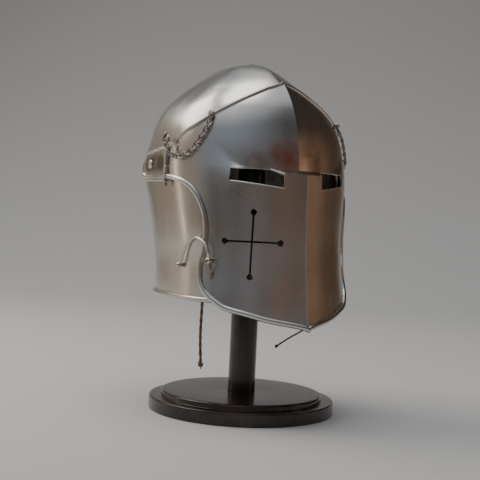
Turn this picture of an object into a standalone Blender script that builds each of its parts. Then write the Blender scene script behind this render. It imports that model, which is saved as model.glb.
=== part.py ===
"""Visored barbute on a plain round display stand, in metres, +Z up, the face towards -Y.

The origin is the middle of the base's underside. The wearer's right is -X.
"""
import math

import bmesh
import bpy
import numpy as np
from mathutils import Matrix, Vector

# Running gap between touching pieces, and the depth that a cutter runs past a face.
GAP = 0.0003
CUT_MARGIN = 0.004
# Depth of a bead's inner side under the inner face of its wall.
BEAD_SINK = 0.0004

# Display stand.
BASE_RADIUS = 0.109
BASE_THICKNESS = 0.015
STEP_RADIUS = 0.0945
STEP_THICKNESS = 0.0065
STEP_ROUNDING = 0.0022
POST_RADIUS = 0.016
POST_TOP_ROUNDING = 0.012
POST_FOOT_DEPTH = 0.010
POST_CROWN_GAP = 0.0011
STAND_SIDES = 32
POST_SIDES = 16

# Skull: the polished steel bowl with its nape and cheek plates.
SKULL_RIM_Z = 0.135
SKULL_TOP_Z = 0.408
SKULL_HALF_WIDTH = 0.109
SKULL_FRONT = 0.099
SKULL_REAR = 0.144
SKULL_WALL = 0.0020
SKULL_CENTRE_Y = 0.010
SKULL_RIM_BEAD = 0.0029
OPENING_TOP_Z = 0.322
OPENING_SHOULDER_Z = 0.268
OPENING_ANGLE = 57.0
SKULL_COLUMNS = 16
SKULL_ROWS = (0, .14, .28, .40, .49, .54, .60, .65, .685, .74, .81, .87, .92, .96, .985, 1.0)
SKULL_RIM_POINTS = 15

# height of the skull, half width, front reach, rear reach, middle shift: shares of the sizes above.
# keel and jaw are the powers of the front half's curve, side and nape those of the rear half's.
SKULL_SECTIONS = (
    # height, width, front, rear, shift, keel, jaw, side, nape
    (0.000, 0.890, 1.090, 0.736, 0.00, 1.50, 3.30, 2.00, 2.30),
    (0.128, 0.900, 1.090, 0.757, 0.00, 1.50, 3.30, 2.00, 2.30),
    (0.256, 0.936, 1.080, 0.806, 0.00, 1.50, 3.30, 2.00, 2.30),
    (0.385, 0.972, 1.040, 0.882, 0.00, 1.48, 3.15, 2.00, 2.35),
    (0.513, 1.000, 0.995, 0.993, 0.00, 1.45, 3.00, 2.00, 2.40),
    (0.571, 1.000, 0.990, 1.000, 0.00, 1.45, 3.00, 2.00, 2.40),
    (0.630, 0.972, 0.975, 0.958, 0.00, 1.45, 2.95, 2.00, 2.30),
    (0.696, 0.927, 0.929, 0.905, 0.00, 1.45, 2.85, 2.15, 2.30),
    (0.788, 0.807, 0.832, 0.830, 0.00, 1.45, 2.60, 2.30, 2.40),
    (0.879, 0.569, 0.655, 0.720, 0.00, 1.42, 2.25, 2.30, 2.30),
    (0.945, 0.340, 0.460, 0.570, 0.02, 1.40, 2.10, 2.10, 2.20),
    (0.982, 0.185, 0.300, 0.380, 0.05, 1.30, 2.00, 2.00, 2.00),
    (1.000, 0.000, 0.110, 0.100, 0.08, 1.30, 2.00, 1.50, 2.00),
)

# Visor: face plate, ledge with the two sights, and brow.
VISOR_HALF_WIDTH = 0.113
VISOR_WALL = 0.0018
CHIN_Z = 0.109
FACE_TOP_Z = 0.277
FACE_FRONT = 0.122
LEDGE_RISE = 0.006
BROW_BELOW_CROWN = 0.0265
BROW_BOTTOM_Z = FACE_TOP_Z + LEDGE_RISE
BROW_TOP_Z = SKULL_TOP_Z - BROW_BELOW_CROWN
BROW_FRONT = 0.1042
VISOR_EDGE_BEAD = 0.0028
VISOR_RIM_BEAD = 0.0017

# height of the face plate, half width, front reach: shares of the sizes above; keel and jaw are powers.
FACE_SECTIONS = (
    # height, width, front, keel, jaw
    (0.000, 1.035, 1.115, 1.15, 3.00),
    (0.155, 1.018, 1.074, 1.15, 3.00),
    (0.363, 0.973, 1.041, 1.15, 3.00),
    (0.571, 0.956, 1.012, 1.15, 3.00),
    (0.780, 0.969, 1.004, 1.15, 3.00),
    (1.000, 1.000, 1.000, 1.15, 3.00),
)
BROW_SECTIONS = (
    # height, width, front, keel, jaw
    (0.000, 1.000, 1.000, 1.40, 3.00),
    (0.173, 0.991, 0.978, 1.40, 3.00),
    (0.430, 0.942, 0.936, 1.40, 2.90),
    (0.684, 0.823, 0.847, 1.40, 2.70),
    (0.939, 0.593, 0.682, 1.40, 2.30),
    (1.000, 0.522, 0.615, 1.40, 2.20),
)

# Angles round the visor, in degrees from the keel: the ends of the sights and the hinge edge.
SIGHT_INNER_ANGLE = 25.0
SIGHT_OUTER_ANGLE = 54.0
HINGE_ANGLE = 88.5
# Depth of the sights below the face plate's top, by the columns' marks: keel, inner, outer, hinge edge.
SIGHT_SILL_DEPTHS = (0.0165, 0.0160, 0.0100, 0.0075)
# The S-shaped rear edge of the face plate: height as a share of the face plate, and angle.
REAR_EDGE = (
    (0.179, 61.8), (0.226, 65.3), (0.304, 68.3), (0.375, 68.8), (0.482, 67.3), (0.601, 66.6),
    (0.708, 67.4), (0.804, 70.1), (0.875, 73.8), (0.917, 78.0), (0.940, 83.0), (0.955, HINGE_ANGLE),
)
# The chin line and the brow's rim: angle, and height as a share of the face plate or brow.
CHIN_LINE = ((0.0, 0.000), (14.0, 0.020), (32.6, 0.052), (45.0, 0.090), (54.4, 0.121), (61.8, 0.179))
BROW_RIM = ((0.0, 1.000), (24.0, 0.923), (40.4, 0.809), (52.5, 0.688), (62.4, 0.576), (70.0, 0.480),
            (79.3, 0.376), (HINGE_ANGLE, 0.225))
VISOR_COLUMNS = (4, 5, 4)
# Rows of the face plate between the chin line and the sights' sills, as shares.
FACE_ROWS = (0, .17, .34, .51, .67, .80, .88, .94, 1)
SIGHT_ROWS = 1
BROW_ROWS = 5
EDGE_BEAD_POINTS = 13
CHIN_BEAD_POINTS = 7
RIM_BEAD_POINTS = 13
# Power that spreads a bead's points evenly along the wall towards the keel.
KEEL_SPREAD = 0.6

# Breaths, on the wearer's right alone: a cross of slots with a round hole at each end.
BREATH_ANGLE = 43.0
BREATH_Z = 0.2016
BREATH_HALF_WIDTH_ANGLE = 15.5
BREATH_RISE = 0.0325
BREATH_FALL = 0.0377
BREATH_SLOT = 0.0018
BREATH_HOLE_RADIUS = 0.0031
BREATH_HOLE_SIDES = 10

# Hinge between visor and side arm, and the pin through it.
BARREL_X = 0.1132
BARREL_Y = 0.0020
BARREL_RADIUS = 0.0034
BARREL_SPLIT_Z = FACE_TOP_Z + 0.0040
LOWER_KNUCKLE_LENGTH = 0.0185
UPPER_KNUCKLE_LENGTH = 0.0190
BARREL_BOTTOM_Z = BARREL_SPLIT_Z - LOWER_KNUCKLE_LENGTH
BARREL_TOP_Z = BARREL_SPLIT_Z + UPPER_KNUCKLE_LENGTH
PIN_RADIUS = 0.0014
PIN_OVERHANG = 0.0038
PIN_LOOP_RADIUS = 0.0032
PIN_LOOP_HEIGHT = 0.0037
PIN_LOOP_WIRE = 0.0010
PIN_LOOP_OFFSET = Vector((-0.0012, 0.0015, 0.0110))
PIN_LOOP_TURN = 33.0
BARREL_SIDES = 12
PIN_LOOP_POINTS = 14

# Side arm and pivot.
PIVOT_Y = 0.0450
PIVOT_Z = 0.2830
ARM_WALL = 0.0017
ARM_BEAD = 0.0015
ARM_LOWER_BEAD = 0.0026
ARM_COLUMNS = 6
ARM_ROWS = 2
ARM_BEAD_POINTS = 7
# Power that crowds the arm's columns towards its round rear end.
ARM_CROWDING = 1.5
# Outer face of the arm, its top edge and its lower edge, along the arm.
ARM_OUTLINE = (
    # y, outer x, top z, lower z
    (0.0035, 0.1130, 0.3020, 0.2672),
    (0.0180, 0.1127, 0.3005, 0.2672),
    (0.0330, 0.1108, 0.2985, 0.2672),
    (0.0430, 0.1104, 0.2968, 0.2672),
    (0.0530, 0.1103, 0.2945, 0.2674),
    (0.0600, 0.1096, 0.2910, 0.2690),
    (0.0645, 0.1090, 0.2868, 0.2722),
    (0.0660, 0.1088, 0.2835, 0.2765),
)
RIVET_SHANK = 0.0022
RIVET_HEAD_RADIUS = 0.0052
RIVET_HEAD_HEIGHT = 0.0024
RIVET_INNER_RADIUS = 0.0042
RIVET_CLEARANCE = 0.0012
RIVET_SIDES = 12
# Half length of the cutter of each pivot hole in the skull.
PIVOT_HOLE_REACH = 0.0218

# Chain stud on the brow's rim.
STUD_ANGLE = 62.4
STUD_BELOW_RIM = 0.0012
STUD_SHANK = 0.0012
STUD_HEAD_RADIUS = 0.0034
STUD_NECK = 0.0040
STUD_HEAD_LENGTH = 0.0026
STUD_TAIL = 0.0006

# Retaining chain of the hinge pin, from beside the stud to beside the pin's loop, at the wearer's right.
CHAIN_RADIUS = 0.0024
CHAIN_ROUTE = (
    (-0.0898, -0.0499, 0.3318), (-0.0912, -0.0492, 0.3275), (-0.0954, -0.0482, 0.3196), (-0.0998, -0.0457, 0.3107),
    (-0.1042, -0.0427, 0.3028), (-0.1080, -0.0382, 0.2967), (-0.1120, -0.0311, 0.2922),
    (-0.1152, -0.0228, 0.2912), (-0.1176, -0.0140, 0.2945), (-0.1192, -0.0085, 0.3003),
    (-0.1197, -0.0052, 0.3085), (-0.1188, -0.0026, 0.3140), (-0.1172, -0.0005, 0.3175),
)

# Hook at the wearer's right: its bored front ball turns on the visor's peg.
HOOK_PIVOT = Vector((-0.0962, -0.0690, 0.1794))
HOOK_AXIS = Vector((-0.989, -0.096, -0.114)).normalized()
HOOK_WIRE = 0.0012
HOOK_BALL = 0.0034
HOOK_REAR_BALL = 0.0032
HOOK_ROUTE = (
    (-0.0962, -0.0690, 0.1820), (-0.0976, -0.0692, 0.1905), (-0.0992, -0.0640, 0.1980),
    (-0.1001, -0.0560, 0.2022), (-0.1008, -0.0470, 0.2032), (-0.1013, -0.0380, 0.2005),
    (-0.1016, -0.0300, 0.1935), (-0.1017, -0.0245, 0.1850), (-0.1017, -0.0205, 0.1765),
    (-0.1016, -0.0150, 0.1708),
)
PEG_RADIUS = 0.0019
PEG_LENGTH_INSIDE = 0.0130
SPLIT_PIN_WIRE = 0.0006
SPLIT_PIN_OFFSET = 0.0044
# Half of the split pin on the peg, from the middle of its eye's top to a leg's end: across, up.
SPLIT_PIN_EYE = ((0.0, 0.0028), (0.0021, 0.0020), (0.0031, 0.0), (0.0032, -0.0035), (0.0025, -0.0080),
                 (0.0007, -0.0122), (0.0007, -0.0150))
SPLIT_PIN_LEGS = ((-0.0018, -0.0195), (0.0016, -0.0215))
# How far the split pin leans out from the visor, as a share of the drop below its peg.
SPLIT_PIN_LEAN = 0.07

# Chin laces, each from a lug inside the skull's rim: routes from top to free end.
LUG_RADIUS = 0.0024
LUG_LENGTH = 0.0085
NEAR_LACE_RADIUS = 0.0018
FAR_LACE_RADIUS = 0.0011
NEAR_LACE_ROUTE = (
    (-0.0854, -0.0430, 0.1463), (-0.0854, -0.0430, 0.1400), (-0.0855, -0.0430, 0.1300),
    (-0.0856, -0.0428, 0.1200), (-0.0857, -0.0426, 0.1100), (-0.0859, -0.0428, 0.1000),
    (-0.0860, -0.0434, 0.0900), (-0.0861, -0.0444, 0.0800), (-0.0862, -0.0456, 0.0720),
    (-0.0862, -0.0464, 0.0655),
)
FAR_LACE_ROUTE = (
    (0.0862, -0.0430, 0.1463), (0.0862, -0.0430, 0.1400), (0.0860, -0.0425, 0.1310),
    (0.0852, -0.0405, 0.1220), (0.0832, -0.0370, 0.1130), (0.0795, -0.0325, 0.1050),
    (0.0740, -0.0275, 0.0985), (0.0665, -0.0225, 0.0925), (0.0580, -0.0180, 0.0868),
    (0.0490, -0.0145, 0.0808), (0.0410, -0.0120, 0.0752),
)
KNOT_RADIUS = 0.0034
KNOT_HEIGHT = 0.0046
FAR_KNOT_RADIUS = 0.0020
FAR_KNOT_HEIGHT = 0.0028

STEEL = ((0.62, 0.61, 0.59), 0.28, 1.0)
DARK_STEEL = ((0.36, 0.34, 0.32), 0.38, 1.0)
CHAIN_STEEL = ((0.30, 0.26, 0.24), 0.42, 1.0)
STAND_PAINT = ((0.055, 0.040, 0.034), 0.45, 0.0)
LEATHER = ((0.26, 0.15, 0.09), 0.75, 0.0)


def clear_scene():
    """Removes what the scene holds."""
    for obj in list(bpy.data.objects):
        bpy.data.objects.remove(obj, do_unlink=True)


def make_material(name, look):
    """A plain Principled material from colour, roughness and metallic value."""
    colour, roughness, metallic = look
    material = bpy.data.materials.new(name)
    material.use_nodes = True
    shader = material.node_tree.nodes["Principled BSDF"]
    shader.inputs["Base Color"].default_value = (*colour, 1.0)
    shader.inputs["Roughness"].default_value = roughness
    shader.inputs["Metallic"].default_value = metallic
    return material


def add_object(name, bm, look, smooth=True):
    """Turns a bmesh into a named object with its own material."""
    mesh = bpy.data.meshes.new(name)
    bm.to_mesh(mesh)
    bm.free()
    obj = bpy.data.objects.new(name, mesh)
    bpy.context.collection.objects.link(obj)
    if look is not None:
        mesh.materials.append(make_material(name, look))
    if smooth:
        mesh.shade_smooth()
        mesh.set_sharp_from_angle(angle=math.radians(35))
    return obj


def add_cutter(name, bm):
    """A helper solid that the build leaves out."""
    obj = add_object(name, bm, None, smooth=False)
    obj.hide_render = True
    obj.display_type = 'WIRE'
    return obj


def turn_outwards(bm):
    """Makes a closed mesh's faces agree and point out."""
    bmesh.ops.recalc_face_normals(bm, faces=bm.faces)
    if bm.calc_volume(signed=True) < 0:
        bmesh.ops.reverse_faces(bm, faces=bm.faces)


def boolean(obj, other, operation):
    """Adds an exact Boolean modifier."""
    modifier = obj.modifiers.new(other.name, 'BOOLEAN')
    modifier.operation = operation
    modifier.solver = 'EXACT'
    modifier.object = other


def smooth_value(table, key, column):
    """Value of a table's column at key, on a curve that doesn't overshoot its rows."""
    keys = [row[0] for row in table]
    values = [row[column] for row in table]
    if key <= keys[0]:
        return values[0]
    if key >= keys[-1]:
        return values[-1]
    i = max(k for k in range(len(keys) - 1) if keys[k] <= key)

    def secant(k):
        return (values[k + 1] - values[k]) / (keys[k + 1] - keys[k])

    def slope(k):
        if k == 0:
            return secant(0)
        if k == len(keys) - 1:
            return secant(k - 1)
        before, after = secant(k - 1), secant(k)
        if before * after <= 0:
            return 0.0
        return 2 * before * after / (before + after)

    step = keys[i + 1] - keys[i]
    s = (key - keys[i]) / step
    return (values[i] * (1 + 2 * s) * (1 - s) ** 2 + slope(i) * step * s * (1 - s) ** 2
            + values[i + 1] * s * s * (3 - 2 * s) - slope(i + 1) * step * s * s * (1 - s))


def skull_point(z, angle):
    """Outer face of the skull's left half at a height, angle in degrees from the keel to the nape."""
    share = (z - SKULL_RIM_Z) / (SKULL_TOP_Z - SKULL_RIM_Z)
    width, front, rear, shift, keel, jaw, side, nape = (
        smooth_value(SKULL_SECTIONS, share, k) for k in range(1, 9))
    width, front, rear = width * SKULL_HALF_WIDTH, front * SKULL_FRONT, rear * SKULL_REAR
    middle = SKULL_CENTRE_Y + shift * SKULL_REAR
    s, c = math.sin(math.radians(angle)), math.cos(math.radians(angle))
    s = max(s, 0.0)
    if c >= 0:
        return Vector((width * s ** (2 / keel), middle - front * c ** (2 / jaw), z))
    return Vector((width * s ** (2 / side), middle + rear * (-c) ** (2 / nape), z))


def visor_point(z, angle):
    """Outer face of the visor's left half at a height, angle in degrees from the keel."""
    if z <= FACE_TOP_Z:
        table, low, high, reach = FACE_SECTIONS, CHIN_Z, FACE_TOP_Z, FACE_FRONT
    else:
        table, low, high, reach = BROW_SECTIONS, BROW_BOTTOM_Z, BROW_TOP_Z, BROW_FRONT
    share = (z - low) / (high - low)
    width, front, keel, jaw = (smooth_value(table, share, k) for k in range(1, 5))
    s, c = math.sin(math.radians(angle)), math.cos(math.radians(angle))
    return Vector((width * VISOR_HALF_WIDTH * max(s, 0.0) ** (2 / keel),
                   SKULL_CENTRE_Y - front * reach * max(c, 0.0) ** (2 / jaw), z))


def surface_normal(point_at, z, angle):
    """Outward normal of a surface function at a height and angle."""
    step_z, step_angle = 0.001, 0.5
    along = point_at(z, angle + step_angle) - point_at(z, angle - step_angle)
    up = point_at(z + step_z, angle) - point_at(z - step_z, angle)
    return along.cross(up).normalized()


def mirrored(point):
    """The same place on the wearer's right."""
    return Vector((-point.x, point.y, point.z))


def column_angle(mark, z):
    """Angle of a visor column: marks 0 to 3 are the keel, both ends of a sight and the rear edge."""
    share = (z - CHIN_Z) / (FACE_TOP_Z - CHIN_Z)
    edge = smooth_value(REAR_EDGE, share, 1)
    return float(np.interp(mark, (0, 1, 2, 3), (0.0, SIGHT_INNER_ANGLE, SIGHT_OUTER_ANGLE, edge)))


def chin_height(mark):
    """Height of the chin line at a visor column."""
    last = REAR_EDGE[0][1]
    angle = float(np.interp(mark, (0, 1, 2, 3), (0.0, SIGHT_INNER_ANGLE, SIGHT_OUTER_ANGLE, last)))
    return CHIN_Z + smooth_value(CHIN_LINE, angle, 1) * (FACE_TOP_Z - CHIN_Z)


def rim_height(angle):
    """Height of the brow's rim at an angle."""
    return BROW_BOTTOM_Z + smooth_value(BROW_RIM, angle, 1) * (BROW_TOP_Z - BROW_BOTTOM_Z)


def sill_height(mark):
    """Height of the line that carries the sights' lower edges."""
    return FACE_TOP_Z - float(np.interp(mark, (0, 1, 2, 3), SIGHT_SILL_DEPTHS))


def visor_grid_point(mark, row):
    """Place of a visor grid vertex, from its column mark and row number."""
    sill_row = len(FACE_ROWS) - 1
    top_row = sill_row + SIGHT_ROWS
    if row <= sill_row:
        low, high = chin_height(mark), sill_height(mark)
        z = low + (high - low) * FACE_ROWS[row]
    elif row <= top_row:
        low, high = sill_height(mark), FACE_TOP_Z
        z = low + (high - low) * (row - sill_row) / SIGHT_ROWS
    else:
        low, high = BROW_BOTTOM_Z, rim_height(column_angle(mark, BROW_BOTTOM_Z))
        z = low + (high - low) * (row - top_row - 1) / BROW_ROWS
    return visor_point(z, column_angle(mark, z))


def column_marks():
    """Marks of the visor's columns, from the keel to the rear edge."""
    marks = [0.0]
    for span, count in enumerate(VISOR_COLUMNS):
        marks += [span + (k + 1) / count for k in range(count)]
    return marks


def close_shell(bm, centre):
    """Mirrors a half shell over the middle plane and turns its faces outwards."""
    bmesh.ops.mirror(bm, geom=bm.verts[:] + bm.edges[:] + bm.faces[:], axis='X', merge_dist=0.00005)
    bmesh.ops.remove_doubles(bm, verts=bm.verts, dist=0.00005)
    bmesh.ops.recalc_face_normals(bm, faces=bm.faces)
    outwards = sum(face.normal.dot(face.calc_center_median() - centre) for face in bm.faces)
    if outwards < 0:
        bmesh.ops.reverse_faces(bm, faces=bm.faces)


def add_wall(obj, thickness):
    """Gives a shell its wall, inwards from its outer face."""
    wall = obj.modifiers.new("wall", 'SOLIDIFY')
    wall.thickness = thickness
    wall.offset = -1.0
    wall.use_even_offset = True


def rod_mesh(points, radius, resolution=2, closed=False):
    """Mesh of a round rod along points."""
    curve = bpy.data.curves.new("rod", 'CURVE')
    curve.dimensions = '3D'
    curve.bevel_depth = radius
    curve.bevel_resolution = resolution
    curve.use_fill_caps = not closed
    spline = curve.splines.new('POLY')
    spline.points.add(len(points) - 1)
    for k, point in enumerate(points):
        spline.points[k].co = (*point, 1.0)
    spline.use_cyclic_u = closed
    obj = bpy.data.objects.new("rod", curve)
    bpy.context.collection.objects.link(obj)
    bpy.context.view_layer.update()
    mesh = bpy.data.meshes.new_from_object(obj.evaluated_get(bpy.context.evaluated_depsgraph_get()))
    bpy.data.objects.remove(obj, do_unlink=True)
    bpy.data.curves.remove(curve)
    bm = bmesh.new()
    bm.from_mesh(mesh)
    bpy.data.meshes.remove(mesh)
    bmesh.ops.remove_doubles(bm, verts=bm.verts, dist=0.00001)
    turn_outwards(bm)
    return bm


def smooth_route(points, spacing):
    """Evenly spaced points on a smooth curve through a route's points."""
    route = [Vector(p) for p in points]
    route = [route[0] * 2 - route[1]] + route + [route[-1] * 2 - route[-2]]
    fine = []
    for a, b, c, d in zip(route, route[1:], route[2:], route[3:]):
        for k in range(12):
            t = k / 12
            fine.append(0.5 * ((2 * b) + (c - a) * t + (2 * a - 5 * b + 4 * c - d) * t * t
                               + (3 * b - a - 3 * c + d) * t ** 3))
    fine.append(route[-2])
    lengths = np.concatenate([[0], np.cumsum([(q - p).length for p, q in zip(fine, fine[1:])])])
    count = max(2, round(lengths[-1] / spacing) + 1)
    at = np.linspace(0, lengths[-1], count)
    axes = [np.interp(at, lengths, [p[k] for p in fine]) for k in range(3)]
    return [Vector(p) for p in zip(*axes)]


def cylinder(radius, start, end, sides=BARREL_SIDES):
    """Round solid between two points."""
    start, end = Vector(start), Vector(end)
    along = end - start
    turn = Vector((0, 0, 1)).rotation_difference(along).to_matrix().to_4x4()
    bm = bmesh.new()
    bmesh.ops.create_cone(bm, cap_ends=True, segments=sides, radius1=radius, radius2=radius,
                          depth=along.length, matrix=Matrix.Translation((start + end) / 2) @ turn)
    return bm


def turned(profile, start, direction, sides):
    """Solid of revolution: profile rows are distance along the axis and radius."""
    bm = bmesh.new()
    verts = [bm.verts.new((radius, 0, along)) for along, radius in profile]
    edges = [bm.edges.new(pair) for pair in zip(verts, verts[1:])]
    bmesh.ops.spin(bm, geom=verts + edges, cent=(0, 0, 0), axis=(0, 0, 1), angle=math.tau,
                   steps=sides, use_merge=True)
    bmesh.ops.remove_doubles(bm, verts=bm.verts, dist=0.00001)
    turn_outwards(bm)
    turn = Vector((0, 0, 1)).rotation_difference(Vector(direction)).to_matrix().to_4x4()
    bmesh.ops.transform(bm, matrix=Matrix.Translation(start) @ turn, verts=bm.verts)
    return bm


def dome_profile(base, radius, height, steps=4):
    """Profile of a low round head, from its rim to its top."""
    rows = [(base, 0.0), (base, radius)]
    for k in range(1, steps):
        turn = math.pi / 2 * k / steps
        rows.append((base + height * math.sin(turn), radius * math.cos(turn)))
    return rows + [(base + height, 0.0)]


def build_stand():
    """The two-step round base and the post that carries the crown."""
    top = BASE_THICKNESS + STEP_THICKNESS
    base = turned([(0, 0), (0, BASE_RADIUS), (BASE_THICKNESS, BASE_RADIUS), (BASE_THICKNESS, STEP_RADIUS),
                   (top - STEP_ROUNDING, STEP_RADIUS), (top - STEP_ROUNDING * 0.3, STEP_RADIUS - STEP_ROUNDING * 0.7),
                   (top, STEP_RADIUS - STEP_ROUNDING), (top, 0)], (0, 0, 0), (0, 0, 1), STAND_SIDES)
    stand = add_object("stand_base", base, STAND_PAINT)
    foot = top - POST_FOOT_DEPTH
    socket = cylinder(POST_RADIUS + GAP, (0, 0, foot), (0, 0, top + CUT_MARGIN), POST_SIDES)
    boolean(stand, add_cutter("post_socket", socket), 'DIFFERENCE')
    crown = post_top()
    shoulder = crown - POST_TOP_ROUNDING
    rows = [(foot + GAP, 0.0), (foot + GAP, POST_RADIUS), (shoulder, POST_RADIUS)]
    for k in range(1, 5):
        turn = math.pi / 2 * k / 5
        rows.append((shoulder + POST_TOP_ROUNDING * math.sin(turn), POST_RADIUS * math.cos(turn)))
    add_object("post", turned(rows + [(crown, 0.0)], (0, 0, 0), (0, 0, 1), POST_SIDES), STAND_PAINT)


def post_top():
    """Height where the post meets the inside of the crown."""
    low, high = OPENING_TOP_Z, SKULL_TOP_Z
    for _ in range(40):
        z = (low + high) / 2
        front = skull_point(z, 0).y
        if front < 0:
            low = z
        else:
            high = z
    return low - SKULL_WALL - POST_CROWN_GAP


def opening_angle(z):
    """Half angle of the face opening at a height: straight cheeks under an arch."""
    if z >= OPENING_TOP_Z:
        return 0.0
    rise = max(0.0, (z - OPENING_SHOULDER_Z) / (OPENING_TOP_Z - OPENING_SHOULDER_Z))
    return OPENING_ANGLE * math.sqrt(1 - rise ** 2)


def skull_shell():
    """The skull's outer face, open at the face and below."""
    rows = [SKULL_RIM_Z + share * (SKULL_TOP_Z - SKULL_RIM_Z) for share in SKULL_ROWS]
    bm = bmesh.new()
    bmesh.ops.create_grid(bm, x_segments=SKULL_COLUMNS, y_segments=len(rows) - 1, size=1.0)
    for vert in bm.verts:
        share = (vert.co.x + 1) / 2
        z = rows[round((vert.co.y + 1) / 2 * (len(rows) - 1))]
        start = opening_angle(z)
        vert.co = skull_point(z, start + (180 - start) * share)
    close_shell(bm, Vector((0, SKULL_CENTRE_Y, PIVOT_Z)))
    return bm


def build_skull():
    """Skull with its rolled rim, the lace lugs and the pivot holes."""
    skull = add_object("skull", skull_shell(), STEEL)
    add_wall(skull, SKULL_WALL)
    angles = np.linspace(OPENING_ANGLE, 180, SKULL_RIM_POINTS)
    half = []
    for angle in angles:
        point = skull_point(SKULL_RIM_Z, angle)
        half.append(point + surface_normal(skull_point, SKULL_RIM_Z, angle) * (SKULL_RIM_BEAD - SKULL_WALL + BEAD_SINK))
    rim = half + [mirrored(p) for p in half[-2::-1]]
    boolean(skull, add_cutter("skull_rim_bead", rod_mesh(rim, SKULL_RIM_BEAD, 1)), 'UNION')
    for side, name in ((-1, "right"), (1, "left")):
        lace = NEAR_LACE_ROUTE if side < 0 else FAR_LACE_ROUTE
        radius = NEAR_LACE_RADIUS if side < 0 else FAR_LACE_RADIUS
        top = Vector(lace[0])
        lug_z = top.z + GAP + LUG_RADIUS
        lug = cylinder(LUG_RADIUS, (top.x - side * LUG_LENGTH / 2, top.y, lug_z),
                       (top.x + side * LUG_LENGTH / 2, top.y, lug_z), 12)
        boolean(skull, add_cutter("lace_lug_" + name, lug), 'UNION')
        hole = cylinder(RIVET_SHANK + GAP, (side * (SKULL_HALF_WIDTH - PIVOT_HOLE_REACH), PIVOT_Y, PIVOT_Z),
                        (side * (SKULL_HALF_WIDTH + PIVOT_HOLE_REACH), PIVOT_Y, PIVOT_Z), 12)
        boolean(skull, add_cutter("pivot_hole_" + name, hole), 'DIFFERENCE')
    return skull


def visor_shell():
    """The visor's outer face with both sights open."""
    marks = column_marks()
    sill_row = len(FACE_ROWS) - 1
    last_row = sill_row + SIGHT_ROWS + 1 + BROW_ROWS
    bm = bmesh.new()
    bmesh.ops.create_grid(bm, x_segments=len(marks) - 1, y_segments=last_row, size=1.0)
    sight = []
    places = {}
    for face in bm.faces:
        middle = face.calc_center_median()
        mark = np.interp((middle.x + 1) / 2 * (len(marks) - 1), range(len(marks)), marks)
        row = (middle.y + 1) / 2 * last_row
        if 1 < mark < 2 and sill_row < row < sill_row + SIGHT_ROWS + 1:
            sight.append(face)
    for vert in bm.verts:
        mark = marks[round((vert.co.x + 1) / 2 * (len(marks) - 1))]
        places[vert] = visor_grid_point(mark, round((vert.co.y + 1) / 2 * last_row))
    for vert, place in places.items():
        vert.co = place
    bmesh.ops.delete(bm, geom=sight, context='FACES')
    close_shell(bm, Vector((0, SKULL_CENTRE_Y, PIVOT_Z)))
    return bm


def angles_to_keel(start, count):
    """Angles from start down to the keel, for about even steps along the wall."""
    return [start * (1 - k / count) ** KEEL_SPREAD for k in range(count + 1)]


def bead_route(half, radius):
    """Middle line of a bead that stands outwards: from a half route on the outer face, mirrored."""
    middle = []
    for z, angle in half:
        outward = surface_normal(visor_point, z, angle) * (radius - VISOR_WALL + BEAD_SINK)
        middle.append(visor_point(z, angle) + outward)
    middle[-1].x = 0.0
    return [mirrored(p) for p in middle[:-1]] + middle[::-1]


def edge_bead_route():
    """Down the rear edge from the hinge, along the chin line to the keel and up the other side."""
    height = FACE_TOP_Z - CHIN_Z
    rows = [(CHIN_Z + share * height, angle) for share, angle in REAR_EDGE]
    half = []
    for z in np.linspace(rows[-1][0], rows[0][0], EDGE_BEAD_POINTS):
        half.append((z, smooth_value(REAR_EDGE, (z - CHIN_Z) / height, 1)))
    for angle in angles_to_keel(REAR_EDGE[0][1], CHIN_BEAD_POINTS)[1:]:
        half.append((CHIN_Z + smooth_value(CHIN_LINE, angle, 1) * height, angle))
    return bead_route(half, VISOR_EDGE_BEAD)


def rim_bead_route():
    """Over the brow's rim from hinge to hinge."""
    half = [(rim_height(angle), angle) for angle in angles_to_keel(HINGE_ANGLE, RIM_BEAD_POINTS)]
    return bead_route(half, VISOR_RIM_BEAD)


def breath_cutters():
    """The cross of slots and its four round holes."""
    middle = visor_point(BREATH_Z, BREATH_ANGLE)
    normal = surface_normal(visor_point, BREATH_Z, BREATH_ANGLE)
    ends = [visor_point(BREATH_Z, BREATH_ANGLE + BREATH_HALF_WIDTH_ANGLE),
            visor_point(BREATH_Z, BREATH_ANGLE - BREATH_HALF_WIDTH_ANGLE),
            visor_point(BREATH_Z + BREATH_RISE, BREATH_ANGLE),
            visor_point(BREATH_Z - BREATH_FALL, BREATH_ANGLE)]
    reach = normal * (CUT_MARGIN * 2)
    for k, end in enumerate(ends):
        yield f"breath_hole_{k}", cylinder(BREATH_HOLE_RADIUS, mirrored(end - reach), mirrored(end + reach),
                                          BREATH_HOLE_SIDES)
    for k, (a, b) in enumerate((ends[:2], ends[2:])):
        along = (b - a).normalized()
        across = along.cross(normal).normalized()
        bm = bmesh.new()
        bmesh.ops.create_cube(bm, size=1.0)
        for vert in bm.verts:
            x, y, z = vert.co
            place = (a + b) / 2 + along * x * (b - a).length + across * y * BREATH_SLOT + reach * z * 3
            vert.co = mirrored(place)
        turn_outwards(bm)
        yield f"breath_slot_{k}", bm


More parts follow.
